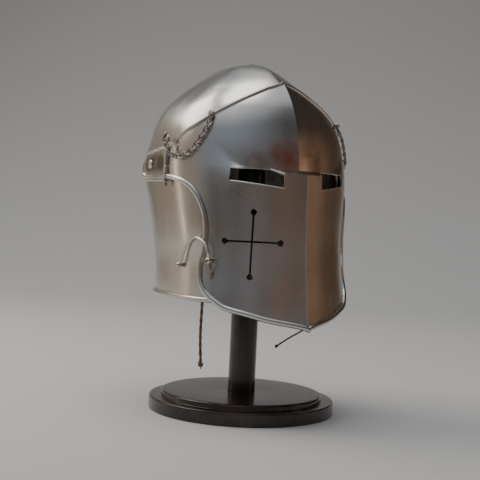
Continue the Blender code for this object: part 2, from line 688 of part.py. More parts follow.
def build_visor():
    """Visor with its beads, lower knuckles, sights, breaths and holes for peg and studs."""
    visor = add_object("visor", visor_shell(), STEEL)
    add_wall(visor, VISOR_WALL)
    boolean(visor, add_cutter("visor_edge_bead", rod_mesh(edge_bead_route(), VISOR_EDGE_BEAD, 1)), 'UNION')
    boolean(visor, add_cutter("visor_rim_bead", rod_mesh(rim_bead_route(), VISOR_RIM_BEAD, 1)), 'UNION')
    for side, name in ((-1, "right"), (1, "left")):
        axis = (side * BARREL_X, BARREL_Y)
        knuckle = cylinder(BARREL_RADIUS, (*axis, BARREL_BOTTOM_Z), (*axis, BARREL_SPLIT_Z + GAP))
        boolean(visor, add_cutter("lower_knuckle_" + name, knuckle), 'UNION')
        room = cylinder(BARREL_RADIUS + GAP * 2, (*axis, BARREL_SPLIT_Z - GAP / 2), (*axis, BARREL_TOP_Z + GAP * 2))
        boolean(visor, add_cutter("upper_knuckle_room_" + name, room), 'DIFFERENCE')
        bore = cylinder(PIN_RADIUS + GAP, (*axis, BARREL_BOTTOM_Z - CUT_MARGIN), (*axis, BARREL_TOP_Z + CUT_MARGIN))
        boolean(visor, add_cutter("visor_bore_" + name, bore), 'DIFFERENCE')
        place, normal = stud_place(side)
        hole = cylinder(STUD_SHANK + GAP, place - normal * CUT_MARGIN, place + normal * CUT_MARGIN, 10)
        boolean(visor, add_cutter("stud_hole_" + name, hole), 'DIFFERENCE')
    for name, bm in breath_cutters():
        boolean(visor, add_cutter(name, bm), 'DIFFERENCE')
    peg_hole = cylinder(PEG_RADIUS + GAP, HOOK_PIVOT - HOOK_AXIS * (HOOK_BALL + GAP),
                        HOOK_PIVOT - HOOK_AXIS * (PEG_LENGTH_INSIDE + CUT_MARGIN), 12)
    boolean(visor, add_cutter("peg_hole", peg_hole), 'DIFFERENCE')
    return visor


def stud_place(side):
    """Point on the brow just under its rim, and the outward normal there."""
    z = rim_height(STUD_ANGLE) - STUD_BELOW_RIM
    place, normal = visor_point(z, STUD_ANGLE), surface_normal(visor_point, z, STUD_ANGLE)
    return (mirrored(place), mirrored(normal)) if side < 0 else (place, normal)


def build_stud(side, name):
    """Round-headed stud that holds the chain's first link."""
    place, normal = stud_place(side)
    tail = -VISOR_WALL - STUD_TAIL
    rows = [(tail, 0), (tail, STUD_SHANK), (STUD_NECK, STUD_SHANK),
            (STUD_NECK, STUD_HEAD_RADIUS), (STUD_NECK + STUD_HEAD_LENGTH * 0.8, STUD_HEAD_RADIUS),
            (STUD_NECK + STUD_HEAD_LENGTH, STUD_HEAD_RADIUS * 0.75), (STUD_NECK + STUD_HEAD_LENGTH, 0)]
    add_object("chain_stud_" + name, turned(rows, place, normal, 12), DARK_STEEL)


def arm_value(y, column):
    """Outer face or edge of the side arm at a distance along it."""
    return smooth_value(ARM_OUTLINE, y, column)


def build_arm(side, name):
    """Side arm between the hinge and the pivot, with its edge beads and upper knuckle."""
    front, rear = ARM_OUTLINE[0][0], ARM_OUTLINE[-1][0]
    bm = bmesh.new()
    bmesh.ops.create_grid(bm, x_segments=ARM_COLUMNS, y_segments=ARM_ROWS, size=1.0)
    for vert in bm.verts:
        share = 1 - (1 - (vert.co.x + 1) / 2) ** ARM_CROWDING
        y = front + (rear - front) * share
        low, high = arm_value(y, 3), arm_value(y, 2)
        vert.co = Vector((side * arm_value(y, 1), y, low + (high - low) * (vert.co.y + 1) / 2))
    bmesh.ops.recalc_face_normals(bm, faces=bm.faces)
    if sum(face.normal.x for face in bm.faces) * side < 0:
        bmesh.ops.reverse_faces(bm, faces=bm.faces)
    arm = add_object("side_arm_" + name, bm, STEEL)
    add_wall(arm, ARM_WALL)
    ys = np.linspace(front, rear, ARM_BEAD_POINTS)

    def bead(column, radius):
        out = radius - ARM_WALL + BEAD_SINK
        return [Vector((side * (arm_value(y, 1) + out), y, arm_value(y, column))) for y in ys]

    axis = (side * BARREL_X, BARREL_Y)
    thin = bead(2, ARM_BEAD) + bead(3, ARM_BEAD)[:-3:-1]
    boolean(arm, add_cutter("arm_top_bead_" + name, rod_mesh(thin, ARM_BEAD, 1)), 'UNION')
    heavy = [p + Vector((0, 0, -ARM_LOWER_BEAD * 0.3)) for p in bead(3, ARM_LOWER_BEAD)[:-2]]
    boolean(arm, add_cutter("arm_lower_bead_" + name, rod_mesh(heavy, ARM_LOWER_BEAD, 1)), 'UNION')
    knuckle = cylinder(BARREL_RADIUS, (*axis, BARREL_SPLIT_Z - GAP), (*axis, BARREL_TOP_Z))
    boolean(arm, add_cutter("upper_knuckle_" + name, knuckle), 'UNION')
    room = cylinder(BARREL_RADIUS + GAP * 2, (*axis, BARREL_BOTTOM_Z - CUT_MARGIN), (*axis, BARREL_SPLIT_Z + GAP / 2))
    boolean(arm, add_cutter("lower_knuckle_room_" + name, room), 'DIFFERENCE')
    bore = cylinder(PIN_RADIUS + GAP, (*axis, BARREL_BOTTOM_Z - CUT_MARGIN), (*axis, BARREL_TOP_Z + CUT_MARGIN))
    boolean(arm, add_cutter("arm_bore_" + name, bore), 'DIFFERENCE')
    hole = cylinder(RIVET_SHANK + GAP, (side * (BARREL_X - 2 * CUT_MARGIN), PIVOT_Y, PIVOT_Z),
                    (side * (BARREL_X + CUT_MARGIN), PIVOT_Y, PIVOT_Z), 12)
    boolean(arm, add_cutter("arm_pivot_hole_" + name, hole), 'DIFFERENCE')
    return arm


def build_rivet(side, name):
    """Pivot rivet through the side arm and the skull."""
    outside = arm_value(PIVOT_Y, 1) + GAP
    inside = skull_inner_x(PIVOT_Y + RIVET_INNER_RADIUS) - RIVET_CLEARANCE
    rows = [(-RIVET_HEAD_HEIGHT * 0.5, 0), (-RIVET_HEAD_HEIGHT * 0.5, RIVET_INNER_RADIUS), (0, RIVET_INNER_RADIUS),
            (0, RIVET_SHANK), (outside - inside, RIVET_SHANK), (outside - inside, RIVET_HEAD_RADIUS)]
    rows += dome_profile(outside - inside, RIVET_HEAD_RADIUS, RIVET_HEAD_HEIGHT)[2:]
    rivet = turned(rows, (side * inside, PIVOT_Y, PIVOT_Z), (side, 0, 0), RIVET_SIDES)
    add_object("pivot_rivet_" + name, rivet, STEEL)


def skull_inner_x(y):
    """Half width of the skull's inside at the pivot's height and a distance behind its middle."""
    low, high = 90.0, 180.0
    for _ in range(40):
        angle = (low + high) / 2
        if skull_point(PIVOT_Z, angle).y < y:
            low = angle
        else:
            high = angle
    return skull_point(PIVOT_Z, low).x - SKULL_WALL


def pin_loop(side):
    """Middle of the hinge pin's loop and the level direction in its plane."""
    middle = Vector((side * (BARREL_X - PIN_LOOP_OFFSET.x), BARREL_Y + PIN_LOOP_OFFSET.y,
                     BARREL_TOP_Z + PIN_LOOP_OFFSET.z))
    turn = math.radians(PIN_LOOP_TURN)
    return middle, Vector((math.cos(turn), side * math.sin(turn), 0))


def build_hinge_pin(side, name):
    """Hinge pin with the wire loop on its top."""
    x = side * BARREL_X
    loop, flat = pin_loop(side)
    neck = loop - Vector((0, 0, PIN_LOOP_RADIUS))
    rod = rod_mesh([(x, BARREL_Y, BARREL_BOTTOM_Z - PIN_OVERHANG), (x, BARREL_Y, BARREL_TOP_Z + PIN_RADIUS),
                    (x, BARREL_Y, BARREL_TOP_Z + 2 * PIN_RADIUS), neck], PIN_RADIUS, 1)
    pin = add_object("hinge_pin_" + name, rod, DARK_STEEL)
    ring = [loop + flat * PIN_LOOP_RADIUS * math.cos(a) + Vector((0, 0, PIN_LOOP_HEIGHT * math.sin(a)))
            for a in np.linspace(0, math.tau, PIN_LOOP_POINTS, endpoint=False)]
    boolean(pin, add_cutter("pin_loop_" + name, rod_mesh(ring, PIN_LOOP_WIRE, 1, closed=True)), 'UNION')


def ball(radius, centre, subdivisions=2):
    """Round ball."""
    bm = bmesh.new()
    bmesh.ops.create_icosphere(bm, subdivisions=subdivisions, radius=radius, matrix=Matrix.Translation(centre))
    return bm


def build_hook():
    """Arched hook: wire between a bored front ball and a rear ball."""
    wire = rod_mesh(smooth_route(HOOK_ROUTE, HOOK_WIRE * 4), HOOK_WIRE, 1)
    hook = add_object("hook", wire, STEEL)
    boolean(hook, add_cutter("hook_front_ball", ball(HOOK_BALL, HOOK_PIVOT)), 'UNION')
    boolean(hook, add_cutter("hook_rear_ball", ball(HOOK_REAR_BALL, Vector(HOOK_ROUTE[-1]))), 'UNION')
    reach = HOOK_AXIS * HOOK_BALL * 1.5
    bore = cylinder(PEG_RADIUS + GAP, HOOK_PIVOT - reach, HOOK_PIVOT + reach, 12)
    boolean(hook, add_cutter("hook_bore", bore), 'DIFFERENCE')


def build_peg():
    """Peg of the visor that the hook turns on."""
    outer = HOOK_BALL + GAP
    rows = [(-PEG_LENGTH_INSIDE, 0), (-PEG_LENGTH_INSIDE, PEG_RADIUS), (outer, PEG_RADIUS),
            (outer + PEG_RADIUS * 0.5, PEG_RADIUS * 0.7), (outer + PEG_RADIUS * 0.6, 0)]
    add_object("visor_peg", turned(rows, HOOK_PIVOT, HOOK_AXIS, 12), STEEL)


def build_split_pin():
    """Split pin on the peg, behind the hook's ball: a long eye and two splayed legs below it."""
    up = (Vector((0, 0, 1)) - HOOK_AXIS * HOOK_AXIS.z).normalized()
    across = HOOK_AXIS.cross(up)
    middle = HOOK_PIVOT - HOOK_AXIS * SPLIT_PIN_OFFSET
    half = [(-x, y) for x, y in SPLIT_PIN_EYE[1:]] + [SPLIT_PIN_LEGS[0]]
    outline = half[::-1] + list(SPLIT_PIN_EYE) + [SPLIT_PIN_LEGS[1]]
    lean = HOOK_AXIS * SPLIT_PIN_LEAN
    route = [middle + across * x + up * y + lean * max(0.0, -y) for x, y in outline]
    add_object("split_pin", rod_mesh(route, SPLIT_PIN_WIRE, 1), DARK_STEEL)


def build_cord(name, points, radius, look):
    """A round flexible piece along its route."""
    curve = bpy.data.curves.new(name, 'CURVE')
    curve.dimensions = '3D'
    curve.bevel_depth = radius
    curve.bevel_resolution = 1
    curve.use_fill_caps = True
    spline = curve.splines.new('POLY')
    spline.points.add(len(points) - 1)
    for k, point in enumerate(points):
        spline.points[k].co = (*point, 1.0)
    cord = bpy.data.objects.new(name, curve)
    bpy.context.collection.objects.link(cord)
    curve.materials.append(make_material(name, look))


def build_chain(side, name):
    """The pin's retaining chain, as the tube that its links fill."""
    route = [Vector(p) if side < 0 else mirrored(Vector(p)) for p in CHAIN_ROUTE]
    build_cord("pin_chain_" + name, smooth_route(route, CHAIN_RADIUS * 2), CHAIN_RADIUS, CHAIN_STEEL)


def build_lace(name, route, radius, knot_radius, knot_height):
    """A hanging lace, and its knot at the free end."""
    points = smooth_route(route, radius * 4)
    build_cord("lace_" + name, points, radius, LEATHER)
    end = points[-1]
    along = (end - points[-2]).normalized()
    rows = [(GAP, 0), (GAP, knot_radius * 0.72), (knot_height * 0.35, knot_radius), (knot_height * 0.7, knot_radius),
            (knot_height, knot_radius * 0.6), (knot_height, 0)]
    add_object("lace_knot_" + name, turned(rows, end, along, 10), LEATHER)


def main():
    """Builds every piece of the helmet and its stand."""
    clear_scene()
    build_stand()
    build_skull()
    build_visor()
    build_hook()
    build_peg()
    build_split_pin()
    for side, name in ((-1, "right"), (1, "left")):
        build_arm(side, name)
        build_rivet(side, name)
        build_hinge_pin(side, name)
        build_stud(side, name)
        build_chain(side, name)
    build_lace("right", NEAR_LACE_ROUTE, NEAR_LACE_RADIUS, KNOT_RADIUS, KNOT_HEIGHT)
    build_lace("left", FAR_LACE_ROUTE, FAR_LACE_RADIUS, FAR_KNOT_RADIUS, FAR_KNOT_HEIGHT)


main()
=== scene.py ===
"""Looks of a visored barbute on its display stand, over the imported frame.

Lengths are metres in the row frame: +Z up, the face towards -Y, the wearer's right at -X.
"""
from __future__ import annotations

import logging
from dataclasses import dataclass
from enum import Enum
from math import cos, pi, radians, sin, sqrt, tau
from typing import Any, Callable, Sequence

import bmesh
import bpy
import numpy as np
from mathutils import Matrix, Vector

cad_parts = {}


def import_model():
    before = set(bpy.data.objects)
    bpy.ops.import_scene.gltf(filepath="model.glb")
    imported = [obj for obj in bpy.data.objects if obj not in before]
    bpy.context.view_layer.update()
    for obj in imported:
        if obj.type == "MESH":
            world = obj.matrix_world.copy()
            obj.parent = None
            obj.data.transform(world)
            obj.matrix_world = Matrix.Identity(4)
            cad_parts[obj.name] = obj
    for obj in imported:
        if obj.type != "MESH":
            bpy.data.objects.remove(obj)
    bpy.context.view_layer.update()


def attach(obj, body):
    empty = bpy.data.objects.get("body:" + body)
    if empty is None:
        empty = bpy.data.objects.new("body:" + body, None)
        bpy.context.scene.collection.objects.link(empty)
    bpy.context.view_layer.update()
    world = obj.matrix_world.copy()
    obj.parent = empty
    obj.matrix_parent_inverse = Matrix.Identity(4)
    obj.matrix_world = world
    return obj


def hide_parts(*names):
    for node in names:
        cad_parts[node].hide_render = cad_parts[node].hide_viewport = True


log = logging.getLogger("barbute")

Table = Sequence[tuple[float, ...]]
Colour = tuple[float, float, float]
Numbers = Sequence[float]
Mesh = bmesh.types.BMesh
Material = bpy.types.Material
UP = Vector((0, 0, 1))
GAP = 0.0003
MERGE = 0.00002
WELD = 1e-6
SOFTENING = 0.0005
CURVE_STEPS = 16
KEEL_GUARD = 0.6


class Side(Enum):
    """The wearer's side: the near side of the photograph is the right."""

    RIGHT = -1
    LEFT = 1

    @property
    def label(self) -> str:
        """The side's name as the nodes carry it."""
        return self.name.lower()

    def place(self, point: Numbers) -> Vector:
        """A point of the left half, taken to this side."""
        return Vector((point[0] * self.value, point[1], point[2]))


class Body(Enum):
    """The rigid bodies that pieces ride on."""

    HELMET = "helmet"
    VISOR = "visor"
    HOOK = "hook"


class Value:
    """An output of a node, with the operators that the finishes use."""

    def __init__(self, graph: Graph, socket: bpy.types.NodeSocket) -> None:
        self.graph = graph
        self.socket = socket

    def __add__(self, other: Value | float) -> Value:
        """Sum."""
        return self.graph.number("ADD", self, other)

    def __rsub__(self, other: float) -> Value:
        """Difference from a number."""
        return self.graph.number("SUBTRACT", other, self)

    def __mul__(self, other: Value | float) -> Value:
        """Product."""
        return self.graph.number("MULTIPLY", self, other)


class Graph:
    """The nodes of a material or of the world, over the shader that it starts with."""

    def __init__(self, owner: Material | bpy.types.World, shader: str = "Principled BSDF",
                 coords: str = "Object") -> None:
        self.owner = owner
        owner.use_nodes = True
        self.tree = owner.node_tree
        self.shader = self.tree.nodes[shader]
        self.coords = self.node("TexCoord", coords, {})

    @classmethod
    def material(cls, name: str) -> Graph:
        """The graph of a new material."""
        return cls(bpy.data.materials.new(name))

    def node(self, kind: str, output: str | int, inputs: dict[str | int, Any], **settings: str) -> Value:
        """Adds a node.

        Args:
            kind: the node's type, without its prefix.
            output: the output that is wanted, by name or number.
            inputs: values or links of its sockets, by name or number.
            settings: its properties, set first.

        Returns:
            The output.
        """
        node = self.tree.nodes.new("ShaderNode" + kind)
        for name, value in settings.items():
            setattr(node, name, value)
        for key, value in inputs.items():
            self.feed(node.inputs[key], value)
        return Value(self, node.outputs[output])

    def feed(self, socket: bpy.types.NodeSocket, value: Any) -> None:
        """Links a value to a socket, or sets a constant on it."""
        if isinstance(value, Value):
            self.tree.links.new(value.socket, socket)
        else:
            socket.default_value = value

    def number(self, operation: str, first: Value | float, second: Value | float) -> Value:
        """A Math node on two numbers."""
        return self.node("Math", 0, {0: first, 1: second}, operation=operation)

    def vector(self, operation: str, output: str, second: Numbers) -> Value:
        """A Vector Math node on the coordinates and a constant."""
        return self.node("VectorMath", output, {0: self.coords, 1: second}, operation=operation)

    def stretched(self, *factors: float) -> Value:
        """Coordinates multiplied along each axis."""
        return self.vector("MULTIPLY", "Vector", factors)

    def noise(self, scale: float, detail: float = 3.0, roughness: float = 0.55, coords: Value | None = None,
              distortion: float = 0.0) -> Value:
        """Noise from 0 to 1 over the coordinates."""
        return self.node("TexNoise", "Fac", {
            "Vector": coords or self.coords, "Scale": scale, "Detail": detail, "Roughness": roughness,
            "Distortion": distortion})

    def spots(self, scale: float) -> Value:
        """Distance to scattered cell centres."""
        return self.node("TexVoronoi", "Distance", {"Vector": self.coords, "Scale": scale})

    def smooth(self, value: Value, low: float, high: float, to_low: float = 0.0, to_high: float = 1.0) -> Value:
        """A value's range, eased onto another one."""
        return self.node("MapRange", "Result", {
            "Value": value, "From Min": low, "From Max": high, "To Min": to_low, "To Max": to_high},
            interpolation_type="SMOOTHSTEP")

    def patches(self, low: float, high: float, *noise: float, coords: Value | None = None) -> Value:
        """Noise of a scale, detail and roughness, eased from 0 to 1 between two of its levels."""
        return self.smooth(self.noise(*noise, coords=coords), low, high)

    def near(self, place: Numbers, inner: float, outer: float) -> Value:
        """1 within a distance of a place, easing to 0 further out."""
        return self.smooth(self.vector("DISTANCE", "Value", place), inner, outer, 1.0, 0.0)

    def toward(self, direction: Vector) -> Value:
        """Cosine between the coordinates, taken as a direction, and another direction."""
        return self.vector("DOT_PRODUCT", "Value", direction)

    def height(self) -> Value:
        """The Z coordinate."""
        return self.node("SeparateXYZ", "Z", {0: self.coords})

    def mix(self, first: Value | Colour, second: Value | Colour, factor: Value | float) -> Value:
        """Two colours, mixed."""
        colours = [c if isinstance(c, Value) else (*c, 1.0) for c in (first, second)]
        return self.node("Mix", 2, {0: factor, 6: colours[0], 7: colours[1]}, data_type="RGBA")

    def bump(self, height: Value, distance: float, strength: float = 1.0, under: Value | None = None) -> Value:
        """A bumped normal."""
        inputs: dict[str | int, Any] = {"Height": height, "Distance": distance, "Strength": strength}
        if under is not None:
            inputs["Normal"] = under
        return self.node("Bump", "Normal", inputs)

    def surface(self, **sockets: Any) -> Material | bpy.types.World:
        """Feeds the shader's sockets, named with underscores for spaces, and gives the graph's owner."""
        for name, value in sockets.items():
            if name == "Base_Color" and not isinstance(value, Value):
                value = (*value, 1.0)
            self.feed(self.shader.inputs[name.replace("_", " ")], value)
        return self.owner


@dataclass(frozen=True)
class Stain:
    """A tarnished place on polished steel."""

    place: Numbers
    inner: float
    outer: float
    colour: Colour
    strength: float


@dataclass(frozen=True)
class PolishedSteel:
    """Hand-polished plate: shallow hammer waves, fine scratches, haze and tarnish, with warm patches of painted
    reflection in its colour.
    """

    name: str
    colour: Colour = (0.66, 0.645, 0.62)
    # warm tint of the random patches: a painted reflection of a warm room, over a light tarnish
    warm: Colour = (0.56, 0.50, 0.43)
    roughness: float = 0.20
    haze: float = 0.10
    wave: float = 0.0012
    scratch: float = 0.00003
    speck: Colour = (0.33, 0.27, 0.22)
    speck_strength: float = 0.55
    stains: tuple[Stain, ...] = ()

    def material(self) -> Material:
        """Builds the finish."""
        g = Graph.material(self.name)
        clouds = g.noise(10.0, 1.5, 0.5)
        # Warm patches painted into the colour: a painted reflection of a warm room, over a light tarnish.
        warm_reflection_tint = g.smooth(g.noise(9.0, 3.0, 0.5, distortion=0.4), 0.42, 0.72)
        colour = g.mix(self.colour, self.warm, warm_reflection_tint * 0.55)
        for stain in self.stains:
            ragged = g.near(stain.place, stain.inner, stain.outer) * g.patches(0.25, 0.62, 42.0, 2.0, 0.5)
            colour = g.mix(colour, stain.colour, ragged * stain.strength)
        specks = g.smooth(g.spots(150.0), 0.05, 0.16, 1.0, 0.0) * g.patches(0.56, 0.70, 38.0, 2.0)
        colour = g.mix(colour, self.speck, specks * self.speck_strength)
        rubbed = g.noise(60.0, 3.0, 0.6, g.stretched(1.0, 1.0, 0.18))
        level = g.smooth(clouds, 0.25, 0.75, self.roughness, self.roughness + self.haze)
        roughness = level + g.smooth(rubbed, 0.35, 0.8, 0.0, 0.05) + specks * 0.2
        waves = g.bump(g.noise(13.0, 1.5, 0.45), self.wave)
        upright = g.noise(420.0, 2.0, 0.5, g.stretched(1.0, 1.0, 0.05))
        lines = upright + g.noise(300.0, 2.0, 0.5, g.stretched(0.07, 0.07, 1.0))
        fine = g.bump(lines, self.scratch, 0.6, waves)
        return g.surface(Base_Color=colour, Roughness=roughness, Metallic=1.0, Normal=fine)


@dataclass(frozen=True)
class WornSteel:
    """Dull steel of small fittings, dark in its hollows and rubbed bright in places."""

    name: str
    dark: Colour
    bright: Colour
    rust: Colour = (0.34, 0.15, 0.08)
    rubbed: float = 0.5
    roughness: float = 0.34

    def material(self) -> Material:
        """Builds the finish."""
        g = Graph.material(self.name)
        wear = g.patches(0.62 - self.rubbed * 0.3, 0.72, 210.0, 4.0, 0.65)
        rust = g.patches(0.54, 0.66, 120.0, 3.0, 0.6)
        colour = g.mix(g.mix(self.dark, self.rust, rust * 0.7), self.bright, wear)
        roughness = self.roughness - wear * 0.12 + rust * 0.18
        pits = g.bump(g.noise(900.0, 3.0, 0.6), 0.00008)
        return g.surface(Base_Color=colour, Roughness=roughness, Metallic=1.0, Normal=pits)


@dataclass(frozen=True)
class LacqueredWood:
    """Turned wood under dark brown lacquer."""

    name: str
    dark: Colour = (0.012, 0.008, 0.006)
    light: Colour = (0.050, 0.026, 0.016)
    dust: Colour = (0.11, 0.10, 0.095)
    roughness: float = 0.24
    dust_roughness: float = 0.18

    def material(self) -> Material:
        """Builds the finish."""
        g = Graph.material(self.name)
        grain = g.noise(46.0, 5.0, 0.6, g.stretched(1.0, 0.10, 0.5), 0.8)
        colour = g.mix(self.dark, self.light, g.smooth(grain, 0.38, 0.72))
        dust = g.patches(0.52, 0.80, 150.0, 4.0, 0.7)
        colour = g.mix(colour, self.dust, dust * 0.22)
        roughness = g.smooth(dust, 0.0, 1.0, self.roughness, self.roughness + self.dust_roughness)
        return g.surface(Base_Color=colour, Roughness=roughness, Metallic=0.0, Coat_Weight=0.35,
                         Coat_Roughness=0.16, Normal=g.bump(grain, 0.00006))


@dataclass(frozen=True)
class WornLeather:
    """Dry twisted leather lace."""

    name: str
    dark: Colour = (0.085, 0.040, 0.022)
    light: Colour = (0.30, 0.17, 0.095)

    def material(self) -> Material:
        """Builds the finish."""
        g = Graph.material(self.name)
        wear = g.patches(0.36, 0.68, 320.0, 4.0, 0.65)
        colour = g.mix(self.dark, self.light, wear)
        creases = g.noise(950.0, 3.0, 0.6, g.stretched(1.0, 1.0, 0.45))
        return g.surface(Base_Color=colour, Roughness=g.smooth(wear, 0.0, 1.0, 0.82, 0.62), Metallic=0.0,
                         Specular_IOR_Level=0.35, Normal=g.bump(creases, 0.00025))


@dataclass(frozen=True)
class PlainPaint:
    """Matt paint of the floor."""

    name: str
    colour: Colour

    def material(self) -> Material:
        """Builds the finish."""
        return Graph.material(self.name).surface(Base_Color=self.colour, Roughness=0.85)


def eased(table: Table, key: float, column: int) -> float:
    """A table's column at a key, on a curve that doesn't overshoot its rows.

    Args:
        table: rows that start with their key.
        key: where to read.
        column: which value to read.

    Returns:
        The value.
    """
    keys = [row[0] for row in table]
    values = [row[column] for row in table]
    if key <= keys[0]:
        return values[0]
    if key >= keys[-1]:
        return values[-1]
    spans = [(v - u) / (b - a) for a, b, u, v in zip(keys, keys[1:], values, values[1:])]
    slopes = [spans[0], *(0.0 if a * b <= 0 else 2 * a * b / (a + b) for a, b in zip(spans, spans[1:])), spans[-1]]
    i = max(k for k in range(len(keys) - 1) if keys[k] <= key)
    step = keys[i + 1] - keys[i]
    s = (key - keys[i]) / step
    return (values[i] * (1 + 2 * s) * (1 - s) ** 2 + slopes[i] * step * s * (1 - s) ** 2
            + values[i + 1] * s * s * (3 - 2 * s) - slopes[i + 1] * step * s * s * (1 - s))


def even_route(points: Sequence[Numbers], spacing: float) -> list[Vector]:
    """Evenly spaced points on a smooth curve through a route's points."""
    route = [Vector(p) for p in points]
    route = [route[0] * 2 - route[1]] + route + [route[-1] * 2 - route[-2]]
    fine = []
    for a, b, c, d in zip(route, route[1:], route[2:], route[3:]):
        for k in range(CURVE_STEPS):
            t = k / CURVE_STEPS
            fine.append(0.5 * ((2 * b) + (c - a) * t + (2 * a - 5 * b + 4 * c - d) * t * t
                               + (3 * b - a - 3 * c + d) * t ** 3))
    fine.append(route[-2])
    lengths = np.concatenate([[0], np.cumsum([(q - p).length for p, q in zip(fine, fine[1:])])])
    at = np.linspace(0, lengths[-1], max(2, round(lengths[-1] / spacing) + 1))
    axes = [np.interp(at, lengths, [p[k] for p in fine]) for k in range(3)]
    return [Vector(p) for p in zip(*axes)]


def route_length(points: Sequence[Vector]) -> float:
    """Length of a line of points."""
    return sum((b - a).length for a, b in zip(points, points[1:]))


def linked(name: str, data: bpy.types.ID) -> bpy.types.Object:
    """A new object in the scene."""
    obj = bpy.data.objects.new(name, data)
    bpy.context.collection.objects.link(obj)
    return obj


def as_mesh(name: str, bm: Mesh) -> bpy.types.Mesh:
    """A mesh out of an edited one, which is freed."""
    mesh = bpy.data.meshes.new(name)
    bm.to_mesh(mesh)
    bm.free()
    return mesh


def grid(columns: int, rows: int, place: Callable[[float, float], Vector],
         hole: Callable[[float, float], bool] | None = None) -> Mesh:
    """A grid whose vertices are placed by their shares across and up.

    Args:
        columns: spans across.
        rows: spans up.
        place: a vertex's place, from its shares.
        hole: whether a face is left out, from its middle's shares.

    Returns:
        The grid.
    """
    bm = bmesh.new()
    bmesh.ops.create_grid(bm, x_segments=columns, y_segments=rows, size=1.0)
    middles = [(face, face.calc_center_median()) for face in bm.faces] if hole else []
    gone = [face for face, middle in middles if hole((middle.x + 1) / 2, (middle.y + 1) / 2)]
    for vert in bm.verts:
        vert.co = place((vert.co.x + 1) / 2, (vert.co.y + 1) / 2)
    bmesh.ops.delete(bm, geom=gone, context='FACES')
    return bm


def outwards(bm: Mesh, inside: Numbers) -> Mesh:
    """Points a mesh's faces away from a place."""
    bmesh.ops.recalc_face_normals(bm, faces=bm.faces)
    middle = Vector(inside)
    if sum(face.normal.dot(face.calc_center_median() - middle) for face in bm.faces) < 0:
        bmesh.ops.reverse_faces(bm, faces=bm.faces)
    return bm


def ring(middle: Vector, across: Vector, up: Vector, count: int) -> list[Vector]:
    """Points round an oval, from its middle and both half axes."""
    return [middle + across * cos(a) + up * sin(a) for a in np.linspace(0, tau, count, endpoint=False)]


def dome(along: float, height: float, radius: float, start: float, count: int) -> list[tuple[float, float]]:
    """Profile rows of a domed end."""
    return [(along + height * sin(t), radius * cos(t)) for t in np.linspace(start, pi / 2, count)]


def tube(points: Sequence[Vector], radius: float | Callable[[float, float], float], sides: int = 12,
         closed: bool = False) -> Mesh:
    """A tube along points.

    Args:
        points: its middle line.
        radius: a number, or a function of the share along it and the angle round it.
        sides: faces round it.
        closed: whether the ends join.

    Returns:
        The tube's mesh.
    """
    count = len(points)
    tangents = []
    for k in range(count):
        before = points[k - 1] if closed or k else points[0]
        after = points[(k + 1) % count] if closed or k < count - 1 else points[-1]
        tangents.append((after - before).normalized())
    centre = sum(points, Vector()) / count
    if closed:
        normal = sum(((a - centre).cross(b - centre) for a, b in zip(points, points[1:])), Vector()).normalized()
    else:
        normal = tangents[0].orthogonal()
    frames = []
    for k, along in enumerate(tangents):
        if k and not closed:
            normal = tangents[k - 1].rotation_difference(along) @ normal
        up = (normal - along * normal.dot(along)).normalized()
        frames.append((points[k], along.cross(up), up))
    rows = count if closed else count - 1

    def place(share: float, turn: float) -> Vector:
        """A vertex, from its shares along and round the tube."""
        row, turn = round(share * rows), tau * round(turn * sides) / sides
        point, across, up = frames[row % count]
        reach = radius(row / rows, turn) if callable(radius) else radius
        return point + (across * cos(turn) + up * sin(turn)) * reach

    bm = grid(rows, sides, place)
    bmesh.ops.remove_doubles(bm, verts=bm.verts, dist=WELD)
    if not closed:
        bmesh.ops.holes_fill(bm, edges=[e for e in bm.edges if e.is_boundary], sides=0)
    bmesh.ops.recalc_face_normals(bm, faces=bm.faces)
    return bm


def mirrored_tube(half: list[Vector], radius: float, sides: int) -> Mesh:
    """A tube along a route that ends in the middle plane, and on along its mirror image."""
    half[-1].x = 0.0
    return tube([Side.RIGHT.place(p) for p in half[:-1]] + half[::-1], radius, sides)


def lathe(profile: Table, start: Numbers, direction: Numbers, steps: int = 48) -> Mesh:
    """A turned form: profile rows are the distance along the axis and the radius.

    Args:
        profile: its outline.
        start: where the axis starts.
        direction: the axis.
        steps: spans round it.

    Returns:
        The form's mesh.
    """
    bm = bmesh.new()
    verts = [bm.verts.new((radius, 0, along)) for along, radius in profile]
    edges = [bm.edges.new(pair) for pair in zip(verts, verts[1:])]
    bmesh.ops.spin(bm, geom=verts + edges, cent=(0, 0, 0), axis=UP, angle=tau, steps=steps, use_merge=True)
    bmesh.ops.remove_doubles(bm, verts=bm.verts, dist=WELD)
    bmesh.ops.recalc_face_normals(bm, faces=bm.faces)
    turn = UP.rotation_difference(Vector(direction)).to_matrix().to_4x4()
    bmesh.ops.transform(bm, matrix=Matrix.Translation(start) @ turn, verts=bm.verts)
    return bm


def rounded(rows: Table, steps: int = 5) -> list[tuple[float, float]]:
    """A profile with its corners rounded.

    Args:
        rows: distance along the axis, radius and the corner's rounding.
        steps: spans of each rounded corner.

    Returns:
        The profile's rows.
    """
    profile: list[tuple[float, float]] = []
    for k, (along, radius, rounding) in enumerate(rows):
        corner = Vector((along, radius))
        if rounding == 0 or k in (0, len(rows) - 1):
            profile.append((along, radius))
            continue
        before = (Vector(rows[k - 1][:2]) - corner).normalized() * rounding
        after = (Vector(rows[k + 1][:2]) - corner).normalized() * rounding
        for j in range(steps + 1):
            t = j / steps
            profile.append(tuple(corner + before * (1 - t) ** 2 + after * t ** 2))
    return profile


def barrel(length: float, radius: float, start: Numbers, direction: Numbers, steps: int) -> Mesh:
    """A round bar with softened ends."""
    rows = [(0, 0, 0), (0, radius, SOFTENING), (length, radius, SOFTENING), (length, 0, 0)]
    return lathe(rounded(rows, 3), start, direction, steps)


def joined(parts: Sequence[Mesh]) -> Mesh:
    """Several meshes as one."""
    whole = bmesh.new()
    for part in parts:
        mesh = as_mesh("part", part)
        whole.from_mesh(mesh)
        bpy.data.meshes.remove(mesh)
    return whole


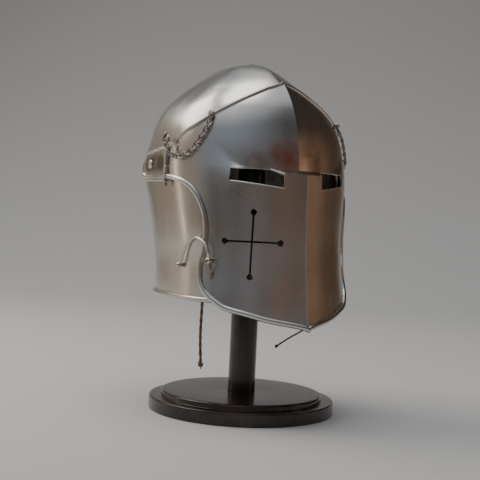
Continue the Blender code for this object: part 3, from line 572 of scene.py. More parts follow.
def mirrored_shell(bm: Mesh, inside: Numbers) -> Mesh:
    """Mirrors a half shell over the middle plane and points its faces away from a place inside it."""
    bmesh.ops.mirror(bm, geom=bm.verts[:] + bm.edges[:] + bm.faces[:], axis='X', merge_dist=MERGE)
    bmesh.ops.remove_doubles(bm, verts=bm.verts, dist=MERGE)
    return outwards(bm, inside)


def with_wall(bm: Mesh, wall: float, cutters: Sequence[Mesh] = ()) -> Mesh:
    """A shell with its wall inwards, and holes cut through it.

    Args:
        bm: the outer face.
        wall: its thickness.
        cutters: closed meshes to cut out.

    Returns:
        The walled mesh.
    """
    obj = linked("shell", as_mesh("shell", bm))
    solid = obj.modifiers.new("wall", 'SOLIDIFY')
    solid.thickness = wall
    solid.offset = -1.0
    solid.use_even_offset = True
    tools = [linked("cutter", as_mesh("cutter", cutter)) for cutter in cutters]
    for tool in tools:
        cut = obj.modifiers.new("cut", 'BOOLEAN')
        cut.operation = 'DIFFERENCE'
        cut.solver = 'EXACT'
        cut.object = tool
    bpy.context.view_layer.update()
    baked = bpy.data.meshes.new_from_object(obj.evaluated_get(bpy.context.evaluated_depsgraph_get()))
    whole = bmesh.new()
    whole.from_mesh(baked)
    for used in (obj, *tools):
        bpy.data.objects.remove(used, do_unlink=True)
    bpy.data.meshes.remove(baked)
    return whole


@dataclass
class Piece:
    """How a finished mesh enters the scene."""

    name: str
    body: Body
    slot: str
    material: Material
    node: str
    sharp: float = 35.0

    def add(self, bm: Mesh) -> bpy.types.Object:
        """Makes the object, dresses it and lets it ride on its body."""
        mesh = as_mesh(self.name, bm)
        mesh.materials.append(self.material)
        mesh.shade_smooth()
        mesh.set_sharp_from_angle(angle=radians(self.sharp))
        obj = linked(self.name, mesh)
        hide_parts(self.node)
        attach(obj, self.body.value)
        log.info("%s: %d faces on %s", self.name, len(mesh.polygons), self.body.value)
        return obj


class Plate:
    """A plate with an outer face that is given by height and angle."""

    def point(self, z: float, angle: float) -> Vector:
        """Outer face of the left half at a height, angle in degrees from the keel to the nape."""
        raise NotImplementedError

    def normal(self, z: float, angle: float) -> Vector:
        """Outward direction of the outer face at a height and angle."""
        along = self.point(z, angle + 0.5) - self.point(z, angle - 0.5)
        up = self.point(z + 0.001, angle) - self.point(z - 0.001, angle)
        return along.cross(up).normalized()

    def off(self, z: float, angle: float, distance: float, lift: float = 0.0) -> Vector:
        """A place off the outer face, along the direction at its height and a lift, read beside the keel's crease."""
        return self.point(z, angle) + self.normal(z + lift, max(angle, KEEL_GUARD)) * distance


@dataclass
class Skull(Plate):
    """The bowl with its keel, nape and cheek plates, rolled rim and turned face opening."""

    rim_z: float = 0.135
    top_z: float = 0.408
    half_width: float = 0.109
    front: float = 0.099
    rear: float = 0.144
    wall: float = 0.0020
    centre_y: float = 0.010
    rim_bead: float = 0.0029
    opening_top_z: float = 0.322
    opening_shoulder_z: float = 0.268
    opening_angle: float = 57.0
    columns: int = 96
    rows: int = 120
    crown_crowding: float = 1.5
    keel_crowding: float = 0.85
    turned_share: float = 0.62
    sections: Table = (
        # height, width, front, rear, shift, keel, jaw, side, nape
        (0.000, 0.890, 1.090, 0.736, 0.00, 1.50, 3.30, 2.00, 2.30),
        (0.128, 0.900, 1.090, 0.757, 0.00, 1.50, 3.30, 2.00, 2.30),
        (0.256, 0.936, 1.080, 0.806, 0.00, 1.50, 3.30, 2.00, 2.30),
        (0.385, 0.972, 1.040, 0.882, 0.00, 1.48, 3.15, 2.00, 2.35),
        (0.513, 1.000, 0.995, 0.993, 0.00, 1.45, 3.00, 2.00, 2.40),
        (0.571, 1.000, 0.990, 1.000, 0.00, 1.45, 3.00, 2.00, 2.40),
        (0.630, 0.972, 0.975, 0.958, 0.00, 1.45, 2.95, 2.00, 2.30),
        (0.696, 0.927, 0.929, 0.905, 0.00, 1.45, 2.85, 2.15, 2.30),
        (0.788, 0.807, 0.832, 0.830, 0.00, 1.45, 2.60, 2.30, 2.40),
        (0.879, 0.569, 0.655, 0.720, 0.00, 1.42, 2.25, 2.30, 2.30),
        (0.945, 0.340, 0.460, 0.570, 0.02, 1.40, 2.10, 2.10, 2.20),
        (0.982, 0.185, 0.300, 0.380, 0.05, 1.30, 2.00, 2.00, 2.00),
        (1.000, 0.000, 0.110, 0.100, 0.08, 1.30, 2.00, 1.50, 2.00),
    )

    def point(self, z: float, angle: float) -> Vector:
        """Outer face of the left half at a height, angle in degrees from the keel to the nape."""
        share = (z - self.rim_z) / (self.top_z - self.rim_z)
        width, front, rear, shift, keel, jaw, side, nape = (eased(self.sections, share, k) for k in range(1, 9))
        width, front, rear = width * self.half_width, front * self.front, rear * self.rear
        middle = self.centre_y + shift * self.rear
        s, c = max(sin(radians(angle)), 0.0), cos(radians(angle))
        if c >= 0:
            return Vector((width * s ** (2 / keel), middle - front * c ** (2 / jaw), z))
        return Vector((width * s ** (2 / side), middle + rear * (-c) ** (2 / nape), z))

    def opening(self, z: float) -> float:
        """Half angle of the face opening at a height."""
        if z >= self.opening_top_z:
            return 0.0
        rise = max(0.0, (z - self.opening_shoulder_z) / (self.opening_top_z - self.opening_shoulder_z))
        return self.opening_angle * sqrt(1 - rise ** 2)

    def shell(self) -> Mesh:
        """The bowl's wall, open at the face and below."""
        def place(across: float, up: float) -> Vector:
            """A vertex."""
            z = self.rim_z + (1 - (1 - up) ** self.crown_crowding) * (self.top_z - self.rim_z)
            start = self.opening(z)
            return self.point(z, start + (180 - start) * across ** self.keel_crowding)

        return with_wall(mirrored_shell(grid(self.columns, self.rows, place), (0, self.centre_y, 0.28)), self.wall)

    def rim(self) -> Mesh:
        """The rolled lower edge, from cheek to cheek round the nape."""
        stand_off = self.rim_bead - self.wall
        half = [self.off(self.rim_z, angle, stand_off) for angle in np.linspace(self.opening_angle, 180, 90)]
        return mirrored_tube(half, self.rim_bead, 16)

    def turned_edge(self) -> Mesh:
        """The turned edge of the face opening."""
        rise = self.opening_top_z - self.opening_shoulder_z
        half = [(z, self.opening_angle) for z in np.linspace(self.rim_z, self.opening_shoulder_z, 30)[:-1]]
        half += [(self.opening_shoulder_z + rise * sin(turn), self.opening_angle * cos(turn))
                 for turn in np.linspace(0, pi / 2, 40)]
        return mirrored_tube([self.off(z, a, -self.wall / 2) for z, a in half], self.wall * self.turned_share, 10)

    def build(self, material: Material, lugs: Sequence[Mesh]) -> None:
        """Adds the skull with its rim and lace lugs."""
        parts = [self.shell(), self.rim(), self.turned_edge(), *lugs]
        Piece("skull_bowl", Body.HELMET, "polished_steel", material, "skull").add(joined(parts))


@dataclass
class Visor(Plate):
    """Face plate with its ledge, sights, breaths, brow, beaded edges and lower knuckles."""

    half_width: float = 0.113
    wall: float = 0.0018
    centre_y: float = 0.010
    chin_z: float = 0.109
    face_top_z: float = 0.277
    face_front: float = 0.122
    brow_bottom_z: float = 0.2816
    brow_top_z: float = 0.3815
    brow_front: float = 0.1042
    edge_bead: float = 0.0031
    bead_reach: float = 0.0034
    rim_bead: float = 0.0020
    inner_angle: float = 25.0
    outer_angle: float = 54.0
    outer_corner_lean: float = 3.4
    hinge_angle: float = 88.5
    marks: tuple[int, ...] = (0, 1, 2, 3)
    spans: tuple[int, ...] = (26, 30, 30)
    face_rows: int = 84
    sight_rows: int = 6
    ledge_rows: int = 4
    brow_rows: int = 56
    blend_start: float = 38.0
    blend_end: float = 60.0
    blend_height: float = 0.027
    crease: float = 0.12
    keel_wear: float = 0.0010
    keel_proud: float = 0.55
    lip_share: float = 0.56
    lip_clear: Numbers = (-0.002, 0.0015)
    sill_depths: Numbers = (0.0165, 0.0160, 0.0100, 0.0075)
    breath_angle: float = 43.0
    breath_z: float = 0.2016
    breath_reaches: tuple[float, float] = (13.6, 16.2)
    breath_leans: tuple[float, float] = (-0.9, 0.4)
    breath_rise: float = 0.0325
    breath_fall: float = 0.0377
    breath_slot: float = 0.0021
    breath_hole: float = 0.0033
    breath_sink: float = 0.0008
    breath_reach: float = 0.024
    chin_crowding: float = 1.3
    edge_crowding: float = 0.6
    face: Table = (
        # height, width, front, keel, jaw
        (0.000, 1.035, 1.115, 1.15, 3.00),
        (0.155, 1.018, 1.074, 1.15, 3.00),
        (0.363, 0.973, 1.041, 1.15, 3.00),
        (0.571, 0.956, 1.012, 1.15, 3.00),
        (0.780, 0.969, 1.004, 1.15, 3.00),
        (1.000, 1.000, 1.000, 1.15, 3.00),
    )
    brow: Table = (
        # height, width, front, keel, jaw
        (0.000, 1.000, 1.000, 1.40, 3.00),
        (0.173, 0.991, 0.978, 1.40, 3.00),
        (0.430, 0.942, 0.936, 1.40, 2.90),
        (0.684, 0.823, 0.847, 1.40, 2.70),
        (0.939, 0.593, 0.682, 1.40, 2.30),
        (1.000, 0.522, 0.615, 1.40, 2.20),
    )
    rear_edge: Table = (
        # height, angle
        (0.179, 61.8), (0.226, 65.3), (0.304, 68.3), (0.375, 68.8), (0.482, 67.3), (0.601, 66.6), (0.708, 67.4),
        (0.804, 70.1), (0.875, 73.8), (0.917, 78.0), (0.940, 83.0), (0.955, 88.5),
    )
    chin_line: Table = (
        # angle, height
        (0.0, 0.000), (14.0, 0.020), (32.6, 0.052), (45.0, 0.090), (54.4, 0.121), (61.8, 0.179),
    )
    rim_line: Table = (
        # angle, height
        (0.0, 1.000), (24.0, 0.923), (40.4, 0.809), (52.5, 0.688), (62.4, 0.576), (70.0, 0.480), (79.3, 0.376),
        (88.5, 0.225),
    )

    def point(self, z: float, angle: float) -> Vector:
        """Outer face of the left half at a height, angle in degrees from the keel.

        The face plate steps back to the brow at the ledge over the sights. Past the sights' outer ends the step
        spreads over a taller stretch, until the plate runs through smoothly.
        """
        spread = float(np.clip((angle - self.blend_start) / (self.blend_end - self.blend_start), 0, 1))
        reach = self.blend_height * spread * spread * (3 - 2 * spread)
        share = (z - self.face_top_z + reach) / (self.brow_bottom_z - self.face_top_z + 2 * reach)
        share = float(np.clip(share, 0, 1))
        share = share * share * (3 - 2 * share) if reach > 0 else share
        face = self.plate_point(self.face, self.chin_z, self.face_top_z, self.face_front, z, angle)
        brow = self.plate_point(self.brow, self.brow_bottom_z, self.brow_top_z, self.brow_front, z, angle)
        return face.lerp(brow, share)

    def plate_point(self, table: Table, low: float, high: float, reach: float, z: float, angle: float) -> Vector:
        """Outer face of the face plate or the brow alone, with the keel drawn to a crease.

        Args:
            table: the plate's sections.
            low: height of its first section.
            high: height of its last section.
            reach: its front reach.
            z: height.
            angle: degrees from the keel.

        Returns:
            The place.
        """
        width, front, keel, jaw = (eased(table, (z - low) / (high - low), k) for k in range(1, 5))
        s, c = max(sin(radians(angle)), 0.0), max(cos(radians(angle)), 0.0)
        across, depth = s ** (2 / keel), c ** (2 / jaw)
        if across < self.crease:
            edge = self.crease ** (keel / 2)
            at, before = ((1 - e * e) ** (1 / jaw) for e in (edge, (self.crease * 0.98) ** (keel / 2)))
            depth = at + (before - at) / (self.crease * 0.02) * (self.crease - across)
        return Vector((width * self.half_width * across, self.centre_y - front * reach * depth, z))

    def at_mark(self, mark: float, values: Numbers) -> float:
        """A value between those of the marks: the keel, both ends of a sight and the rear edge."""
        return float(np.interp(mark, self.marks, values))

    def angle_at(self, mark: float, z: float) -> float:
        """Angle of a column at a height."""
        share = (z - self.chin_z) / (self.face_top_z - self.chin_z)
        edge = eased(self.rear_edge, share, 1)
        sill = self.face_top_z - self.sill_depths[2]
        lean = np.interp(z, (sill, self.brow_bottom_z, self.brow_bottom_z + 0.03), (0.0, self.outer_corner_lean, 0.0))
        return self.at_mark(mark, (0.0, self.inner_angle, self.outer_angle - lean, edge))

    def chin_at(self, mark: float) -> float:
        """Height of the chin line at a column."""
        angle = self.at_mark(mark, (0.0, self.inner_angle, self.outer_angle, self.rear_edge[0][1]))
        return self.chin_z + eased(self.chin_line, angle, 1) * (self.face_top_z - self.chin_z)

    def rim_at(self, angle: float) -> float:
        """Height of the brow's rim at an angle."""
        return self.brow_bottom_z + eased(self.rim_line, angle, 1) * (self.brow_top_z - self.brow_bottom_z)

    def sill_at(self, mark: float) -> float:
        """Height of the line that carries the sights' lower edges."""
        return self.face_top_z - self.at_mark(mark, self.sill_depths)

    def grid_point(self, mark: float, row: int) -> Vector:
        """Place of a grid vertex, from its column mark and row number."""
        sill, top = self.face_rows, self.face_rows + self.sight_rows
        brow = top + self.ledge_rows
        if row <= sill:
            low, high = self.chin_at(mark), self.sill_at(mark)
            z = low + (high - low) * (1 - (1 - row / sill) ** self.chin_crowding)
        elif row <= top:
            low = self.sill_at(mark)
            z = low + (self.face_top_z - low) * (row - sill) / self.sight_rows
        elif row < brow:
            z = self.face_top_z + (self.brow_bottom_z - self.face_top_z) * (row - top) / self.ledge_rows
        else:
            low, high = self.brow_bottom_z, self.rim_at(self.angle_at(mark, self.brow_bottom_z))
            z = low + (high - low) * (row - brow) / self.brow_rows
        return self.point(z, self.angle_at(mark, z))

    def shell(self) -> Mesh:
        """The plate's outer face with both sights open."""
        marks = [0.0] + [span + (k + 1) / count for span, count in enumerate(self.spans) for k in range(count)]
        last = len(marks) - 1
        brow = self.face_rows + self.sight_rows + self.ledge_rows
        rows = brow + self.brow_rows

        def place(across: float, up: float) -> Vector:
            """A vertex."""
            return self.grid_point(marks[round(across * last)], round(up * rows))

        def sight(across: float, up: float) -> bool:
            """Whether a face lies in the sight."""
            return 1 < np.interp(across * last, range(last + 1), marks) < 2 and self.face_rows < up * rows < brow

        return mirrored_shell(grid(last, rows, place, sight), (0, self.centre_y, 0.283))

    def breaths(self) -> list[Mesh]:
        """Cutters of the cross of slots and its four round holes, countersunk a little."""
        normal = self.normal(self.breath_z, self.breath_angle)
        ends = [self.point(self.breath_z + dz, self.breath_angle + da) for dz, da in (
            (0, self.breath_reaches[0]), (0, -self.breath_reaches[1]),
            (self.breath_rise, self.breath_leans[0]), (-self.breath_fall, self.breath_leans[1]))]
        hole, mouth = self.breath_hole, self.breath_hole + self.breath_sink
        profile = [(-0.006, 0), (-0.006, hole), (-0.0005, hole), (0.0006, mouth), (0.005, mouth), (0.005, 0)]
        cutters = [lathe(profile, Side.RIGHT.place(end), Side.RIGHT.place(self.normal(end.z, self.breath_angle)), 28)
                   for end in ends]
        for a, b in (ends[:2], ends[2:]):
            axes = (b - a), (b - a).cross(normal).normalized() * self.breath_slot, normal * self.breath_reach
            middle = (a + b) / 2
            bm = bmesh.new()
            bmesh.ops.create_cube(bm, size=1.0)
            for vert in bm.verts:
                vert.co = Side.RIGHT.place(sum((axis * share for axis, share in zip(axes, vert.co)), middle))
            cutters.append(outwards(bm, Side.RIGHT.place(middle)))
        return cutters

    def bead(self, half: Table, radius: float) -> Mesh:
        """A bead that stands outwards along a half route of heights and angles, mirrored."""
        stand_off = min(radius - self.wall, self.bead_reach - radius)
        return mirrored_tube([self.off(z, a, stand_off) for z, a in half], radius, 18)

    def keel_line(self) -> Mesh:
        """The worn bright edge down the face plate's keel."""
        places = [self.point(z, 0.0) for z in np.linspace(self.chin_z + 0.004, self.face_top_z - 0.001, 60)]
        return tube([Vector((0.0, p.y + self.keel_wear * self.keel_proud, p.z)) for p in places], self.keel_wear, 10)

    def edge_route(self) -> list[tuple[float, float]]:
        """Heights and angles down the rear edge and along the chin line to the keel."""
        height = self.face_top_z - self.chin_z
        top, foot = self.rear_edge[-1][0], self.rear_edge[0][0]
        half = [(self.chin_z + share * height, eased(self.rear_edge, share, 1)) for share in np.linspace(top, foot, 90)]
        for angle in self.rear_edge[0][1] * (1 - np.linspace(0, 1, 60)[1:]) ** self.edge_crowding:
            half.append((self.chin_z + eased(self.chin_line, angle, 1) * height, angle))
        return half

    def rim_route(self) -> list[tuple[float, float]]:
        """Heights and angles of the brow's rim."""
        return [(self.rim_at(a), a) for a in self.hinge_angle * (1 - np.linspace(0, 1, 90)) ** self.edge_crowding]

    def sight_lip(self, side: Side) -> Mesh:
        """The rounded edge round a sight."""
        marks, top, depth = np.linspace(1, 2, 30), self.brow_bottom_z, -self.wall / 2
        below, above = self.lip_clear
        loop = [self.off(z, self.angle_at(mark, z), depth) for mark, z in ((m, self.sill_at(m)) for m in marks)]
        loop.append(self.off(self.face_top_z, self.outer_angle, depth, below))
        loop += [self.off(top, self.angle_at(mark, top), depth, above) for mark in marks[::-1]]
        loop.append(self.off(self.face_top_z, self.inner_angle, depth, below))
        return tube([side.place(p) for p in loop], self.wall * self.lip_share, 10, closed=True)

    def build(self, material: Material, knuckles: Sequence[Mesh]) -> None:
        """Adds the visor's plate, beads and knuckles."""
        parts = [with_wall(self.shell(), self.wall, self.breaths()), self.bead(self.edge_route(), self.edge_bead),
                 self.bead(self.rim_route(), self.rim_bead), self.keel_line(), *knuckles]
        parts += [self.sight_lip(side) for side in Side]
        Piece("visor_plate", Body.VISOR, "visor_steel", material, "visor", 40.0).add(joined(parts))


@dataclass
class Hinge:
    """A hinge between visor and side arm: knuckles, pin, loop, stud and retaining chain."""

    side: Side
    visor: Visor
    x: float = 0.1132
    y: float = 0.0020
    radius: float = 0.0034
    bottom_z: float = 0.2625
    split_z: float = 0.2810
    top_z: float = 0.3000
    pin: float = 0.0014
    pin_tip: float = 0.45
    pin_taper: float = 18.0
    overhang: float = 0.0038
    loop_radius: float = 0.0032
    loop_height: float = 0.0037
    loop_wire: float = 0.0010
    loop_offset: Numbers = (0.0012, 0.0015, 0.0110)
    loop_turn: float = 33.0
    stud_angle: float = 62.4
    stud_below_rim: float = 0.0012
    stud_shank: float = 0.0012
    stud_head: float = 0.0036
    stud_neck: float = 0.0040
    stud_length: float = 0.0026
    stud_root: float = 0.0024
    stud_dome: float = 0.0016
    link_pitch: float = 0.0048
    link_length: float = 0.0034
    link_width: float = 0.0026
    link_wire: float = 0.00082
    link_tilt: float = 26.0
    link_twist: float = 0.0005
    stud_link_height: float = 0.0028
    pin_link_lean: float = 0.35
    chain_route: Table = (
        (0.0912, -0.0492, 0.3275), (0.0954, -0.0482, 0.3196), (0.0998, -0.0457, 0.3107), (0.1042, -0.0427, 0.3028),
        (0.1080, -0.0382, 0.2967), (0.1120, -0.0311, 0.2922), (0.1152, -0.0228, 0.2912), (0.1176, -0.0140, 0.2945),
        (0.1190, -0.0085, 0.3003), (0.1192, -0.0052, 0.3085), (0.1183, -0.0020, 0.3150),
    )

    def knuckle(self, low: float, high: float) -> Mesh:
        """A rolled knuckle between two heights."""
        return barrel(high - low, self.radius, (self.side.value * self.x, self.y, low), UP, 32)

    def lower_knuckle(self) -> Mesh:
        """The visor's knuckle."""
        return self.knuckle(self.bottom_z, self.split_z - GAP / 2)

    def upper_knuckle(self) -> Mesh:
        """The side arm's knuckle."""
        return self.knuckle(self.split_z + GAP / 2, self.top_z)

    def loop(self) -> tuple[Vector, Vector]:
        """Middle of the pin's loop and the level direction in its plane."""
        dx, dy, dz = self.loop_offset
        middle = self.side.place((self.x + dx, self.y + dy, self.top_z + dz))
        turn = radians(self.loop_turn)
        return middle, Vector((cos(turn), self.side.value * sin(turn), 0))

    def pin_mesh(self) -> Mesh:
        """The pin with its pointed tip, bent neck and loop."""
        middle, flat = self.loop()
        foot = self.side.place((self.x, self.y, self.bottom_z - self.overhang))
        crown = self.side.place((self.x, self.y, self.top_z + self.pin))
        neck = [foot, foot + UP * 0.0012, foot.lerp(crown, 0.5), crown, crown.lerp(middle, 0.35),
                middle - UP * self.loop_height]

        def pointed(share: float, _: float) -> float:
            """Radius of the pin, thin at its tip."""
            return self.pin * min(1.0, self.pin_tip + share * self.pin_taper)

        rod = tube(even_route(neck, 0.0012), pointed, 16)
        loop = ring(middle, flat * self.loop_radius, UP * self.loop_height, 40)
        return joined([rod, tube(loop, self.loop_wire, 12, closed=True)])

    def stud_place(self) -> tuple[Vector, Vector]:
        """Where the stud stands on the brow and its outward direction."""
        z = self.visor.rim_at(self.stud_angle) - self.stud_below_rim
        place = self.visor.point(z, self.stud_angle)
        return self.side.place(place), self.side.place(self.visor.normal(z, self.stud_angle))

    def stud_mesh(self) -> Mesh:
        """The stud with its round head."""
        place, normal = self.stud_place()
        neck, top = self.stud_neck, self.stud_neck + self.stud_length
        rows = [(-self.stud_root, 0, 0), (-self.stud_root, self.stud_shank, 0), (neck, self.stud_shank, 0.0003),
                (neck, self.stud_head, 0.0004), (top, self.stud_head, self.stud_dome), (top, 0, 0)]
        return lathe(rounded(rows), place, normal, 32)

    def frames(self) -> list[tuple[Vector, Vector, Vector]]:
        """Middle, direction and the direction across each link, from the stud to the pin's loop."""
        route = [self.side.place(p) for p in self.chain_route]
        place, normal = self.stud_place()
        place = place + normal * self.stud_link_height
        along = route[0] - place
        along = (along - normal * along.dot(normal)).normalized()
        first = place + along * (self.link_length - self.link_wire - self.stud_shank - GAP)
        middle, flat = self.loop()
        facing = flat.cross(UP)
        facing = facing if facing.y < 0 else -facing
        up = (UP + facing * self.pin_link_lean).normalized()
        last = middle + UP * self.loop_height + up * (self.link_length - self.link_wire - self.loop_wire - GAP)
        points = even_route([first, *route, last], self.link_pitch)
        frames = [(first, along, along.cross(normal))]
        for k in range(1, len(points) - 1):
            along = (points[k + 1] - points[k - 1]).normalized()
            outward = Vector((points[k].x, points[k].y - self.visor.centre_y, 0)).normalized()
            tilt = radians(self.link_tilt if k % 2 else -self.link_tilt)
            frames.append((points[k], along, Matrix.Rotation(tilt, 3, along) @ along.cross(outward).normalized()))
        return frames + [(last, -up, flat.cross(up))]

    def chain_mesh(self) -> Mesh:
        """Closed oval links, each twisted a little as in a curb chain."""
        links = []
        for middle, along, across in self.frames():
            out = along.cross(across).normalized()
            oval = ring(middle, along * self.link_length, across * self.link_width, 22)
            oval = [p + out * self.link_twist * sin(2 * k * tau / 22) for k, p in enumerate(oval)]
            links.append(tube(oval, self.link_wire, 9, closed=True))
        return joined(links)

    def build(self, fitting: Material, stud: Material, chain: Material) -> None:
        """Adds pin, stud and chain."""
        label = self.side.label
        for name, mesh, slot, material in (("hinge_pin_", self.pin_mesh(), "dark_steel", fitting),
                                           ("chain_stud_", self.stud_mesh(), "dark_steel", stud),
                                           ("pin_chain_", self.chain_mesh(), "chain_steel", chain)):
            Piece(name + label + "_piece", Body.VISOR, slot, material, name + label).add(mesh)


@dataclass
class SideArm:
    """A side arm with its roped upper edge, double lower edge and pivot rivet."""

    side: Side
    hinge: Hinge
    wall: float = 0.0017
    crown: float = 0.0004
    bead: float = 0.0015
    pivot_y: float = 0.0450
    pivot_z: float = 0.2830
    rivet_shank: float = 0.0022
    rivet_head: float = 0.0052
    rivet_height: float = 0.0024
    rivet_inner: float = 0.0042
    rivet_inside: float = 0.1034
    rope_stop: float = 0.0585
    rope_mean: float = 0.90
    rope_depth: float = 0.16
    rope_turn: float = 90.0
    end_wire: float = 0.0011
    bands: Table = (
        # stop, rise, radius
        (0.0625, 0.0010, 0.0019), (0.0610, -0.0022, 0.0016),
    )
    outline: Table = (
        # y, outer x, top z, lower z
        (0.0035, 0.1130, 0.3020, 0.2672),
        (0.0180, 0.1127, 0.3005, 0.2672),
        (0.0330, 0.1108, 0.2985, 0.2672),
        (0.0430, 0.1104, 0.2968, 0.2672),
        (0.0530, 0.1103, 0.2945, 0.2674),
        (0.0600, 0.1096, 0.2910, 0.2690),
        (0.0645, 0.1090, 0.2868, 0.2722),
        (0.0660, 0.1088, 0.2835, 0.2765),
    )

    def value(self, y: float, column: int) -> float:
        """Outer face or edge at a distance along the arm."""
        return eased(self.outline, y, column)

    def plate(self) -> Mesh:
        """The arm's plate."""
        front, rear = self.outline[0][0], self.outline[-1][0]

        def place(along: float, across: float) -> Vector:
            """A vertex."""
            y = front + (rear - front) * (1 - (1 - along) ** 1.5)
            low, high = self.value(y, 3), self.value(y, 2)
            bulge = self.crown * (1 - (2 * across - 1) ** 2)
            return self.side.place((self.value(y, 1) + bulge, y, low + (high - low) * across))

        return with_wall(outwards(grid(60, 18, place), (0, self.pivot_y, self.pivot_z)), self.wall)

    def edge(self, column: int, stop: float, rise: float = 0.0, out: float = 0.0) -> list[Vector]:
        """Points along an edge, up to a distance along the arm."""
        ys = np.linspace(self.outline[0][0], stop, 60)
        return [self.side.place((self.value(y, 1) + out, y, self.value(y, column) + rise)) for y in ys]

    def beads(self) -> list[Mesh]:
        """Roped upper edge, wire round the rear end, and the two bands of the lower edge."""
        rear = self.outline[-1][0]

        def roped(share: float, turn: float) -> float:
            """Radius of a two-strand rope."""
            return self.bead * (self.rope_mean + self.rope_depth * cos(2 * turn - share * self.rope_turn))

        end = self.edge(2, rear)[50:] + self.edge(3, rear)[:48:-1]
        bands = [tube(self.edge(3, stop, rise, self.crown), radius, sides)
                 for (stop, rise, radius), sides in zip(self.bands, (16, 14))]
        return [tube(even_route(self.edge(2, self.rope_stop), 0.0005), roped, 16),
                tube(even_route(end, 0.0008), self.end_wire, 12), *bands]

    def rivet(self) -> Mesh:
        """The pivot's domed rivet."""
        outside = self.value(self.pivot_y, 1) + GAP + self.crown
        reach = outside - self.rivet_inside
        rows = [(-0.0012, 0.0), (-0.0010, self.rivet_inner * 0.8), (0, self.rivet_inner), (0, self.rivet_shank),
                (reach, self.rivet_shank), (reach, self.rivet_head)]
        rows += dome(reach, self.rivet_height - self.crown, self.rivet_head, 0.12, 10)
        return lathe(rows, (self.side.value * self.rivet_inside, self.pivot_y, self.pivot_z), (self.side.value, 0, 0))

    def build(self, steel: Material, bright: Material) -> None:
        """Adds arm and rivet."""
        label = self.side.label
        arm = joined([self.plate(), *self.beads(), self.hinge.upper_knuckle()])
        Piece(f"arm_{label}", Body.VISOR, "visor_steel", steel, f"side_arm_{label}").add(arm)
        Piece(f"rivet_{label}", Body.HELMET, "visor_steel", bright, f"pivot_rivet_{label}").add(self.rivet())


@dataclass
class Hook:
    """The arched hook on the visor's peg, with the split pin that hangs there."""

    place: Numbers = (-0.0962, -0.0690, 0.1794)
    direction: Numbers = (-0.989, -0.096, -0.114)
    wire: float = 0.0014
    front_ball: float = 0.0035
    rear_ball: float = 0.0034
    ball_flat: float = 0.0029
    ball_face: float = 0.0024
    peg: float = 0.0019
    peg_inside: float = 0.0130
    pin_wire: float = 0.0006
    pin_offset: float = 0.0044
    pin_lean: float = 0.07
    route: Table = (
        (-0.0962, -0.0690, 0.1820), (-0.0976, -0.0692, 0.1905), (-0.0992, -0.0640, 0.1980),
        (-0.1001, -0.0560, 0.2022), (-0.1008, -0.0470, 0.2032), (-0.1013, -0.0380, 0.2005),
        (-0.1016, -0.0300, 0.1935), (-0.1017, -0.0245, 0.1850), (-0.1017, -0.0205, 0.1765),
        (-0.1016, -0.0150, 0.1708),
    )
    eye: Table = (
        (0.0, 0.0028), (0.0021, 0.0020), (0.0031, 0.0), (0.0032, -0.0035), (0.0025, -0.0080), (0.0007, -0.0122),
        (0.0007, -0.0150),
    )
    legs: Table = ((-0.0018, -0.0195), (0.0016, -0.0215))

    def __post_init__(self) -> None:
        """Works out the peg's middle and its outward direction."""
        self.pivot = Vector(self.place)
        self.axis = Vector(self.direction).normalized()

    def hook_mesh(self) -> Mesh:
        """Wire and balls, the front one with a flat bored face."""
        wire = tube(even_route(self.route, 0.0010), self.wire, 14)
        bore, flat, face = self.peg + GAP, self.ball_flat, self.ball_face
        rows = [(-flat, bore), (-flat, face)]
        rows += [(self.front_ball * sin(t), self.front_ball * cos(t)) for t in np.linspace(-0.95, 0.95, 22)]
        rows += [(flat, face), (flat, bore), (-flat, bore)]
        rear = bmesh.new()
        bmesh.ops.create_uvsphere(rear, u_segments=32, v_segments=20, radius=self.rear_ball,
                                  matrix=Matrix.Translation(self.route[-1]))
        return joined([wire, lathe(rows, self.pivot, self.axis, 36), rear])

    def peg_mesh(self) -> Mesh:
        """The peg with its domed end."""
        tip = self.front_ball + GAP
        rows = [(-self.peg_inside, 0), (-self.peg_inside, self.peg), (tip, self.peg)]
        return lathe(rows + dome(tip, 0.0012, self.peg, 0.2, 6), self.pivot, self.axis, 28)

    def split_pin_mesh(self) -> Mesh:
        """The split pin: one wire, a long eye round the peg and two legs."""
        up = (UP - self.axis * self.axis.z).normalized()
        across = self.axis.cross(up)
        middle = self.pivot - self.axis * self.pin_offset
        half = [(-x, y) for x, y in self.eye[1:]] + [self.legs[0]]
        outline = half[::-1] + list(self.eye) + [self.legs[1]]
        lean = self.axis * self.pin_lean
        route = [middle + across * x + up * y + lean * max(0.0, -y) for x, y in outline]
        return tube(even_route(route, 0.0005), self.pin_wire, 10)

    def build(self, steel: Material, fitting: Material) -> None:
        """Adds hook, peg and split pin; the peg wears the dark fitting steel as a painted shadow of the front ball."""
        Piece("hook_piece", Body.HOOK, "hook_steel", steel, "hook").add(self.hook_mesh())
        # The peg takes the dark fitting steel as painted shade: its darkness is a painted shadow of the front ball on
        # the visor.
        Piece("peg_piece", Body.VISOR, "hook_steel", fitting, "visor_peg").add(self.peg_mesh())
        Piece("split_pin_piece", Body.VISOR, "dark_steel", fitting, "split_pin").add(self.split_pin_mesh())


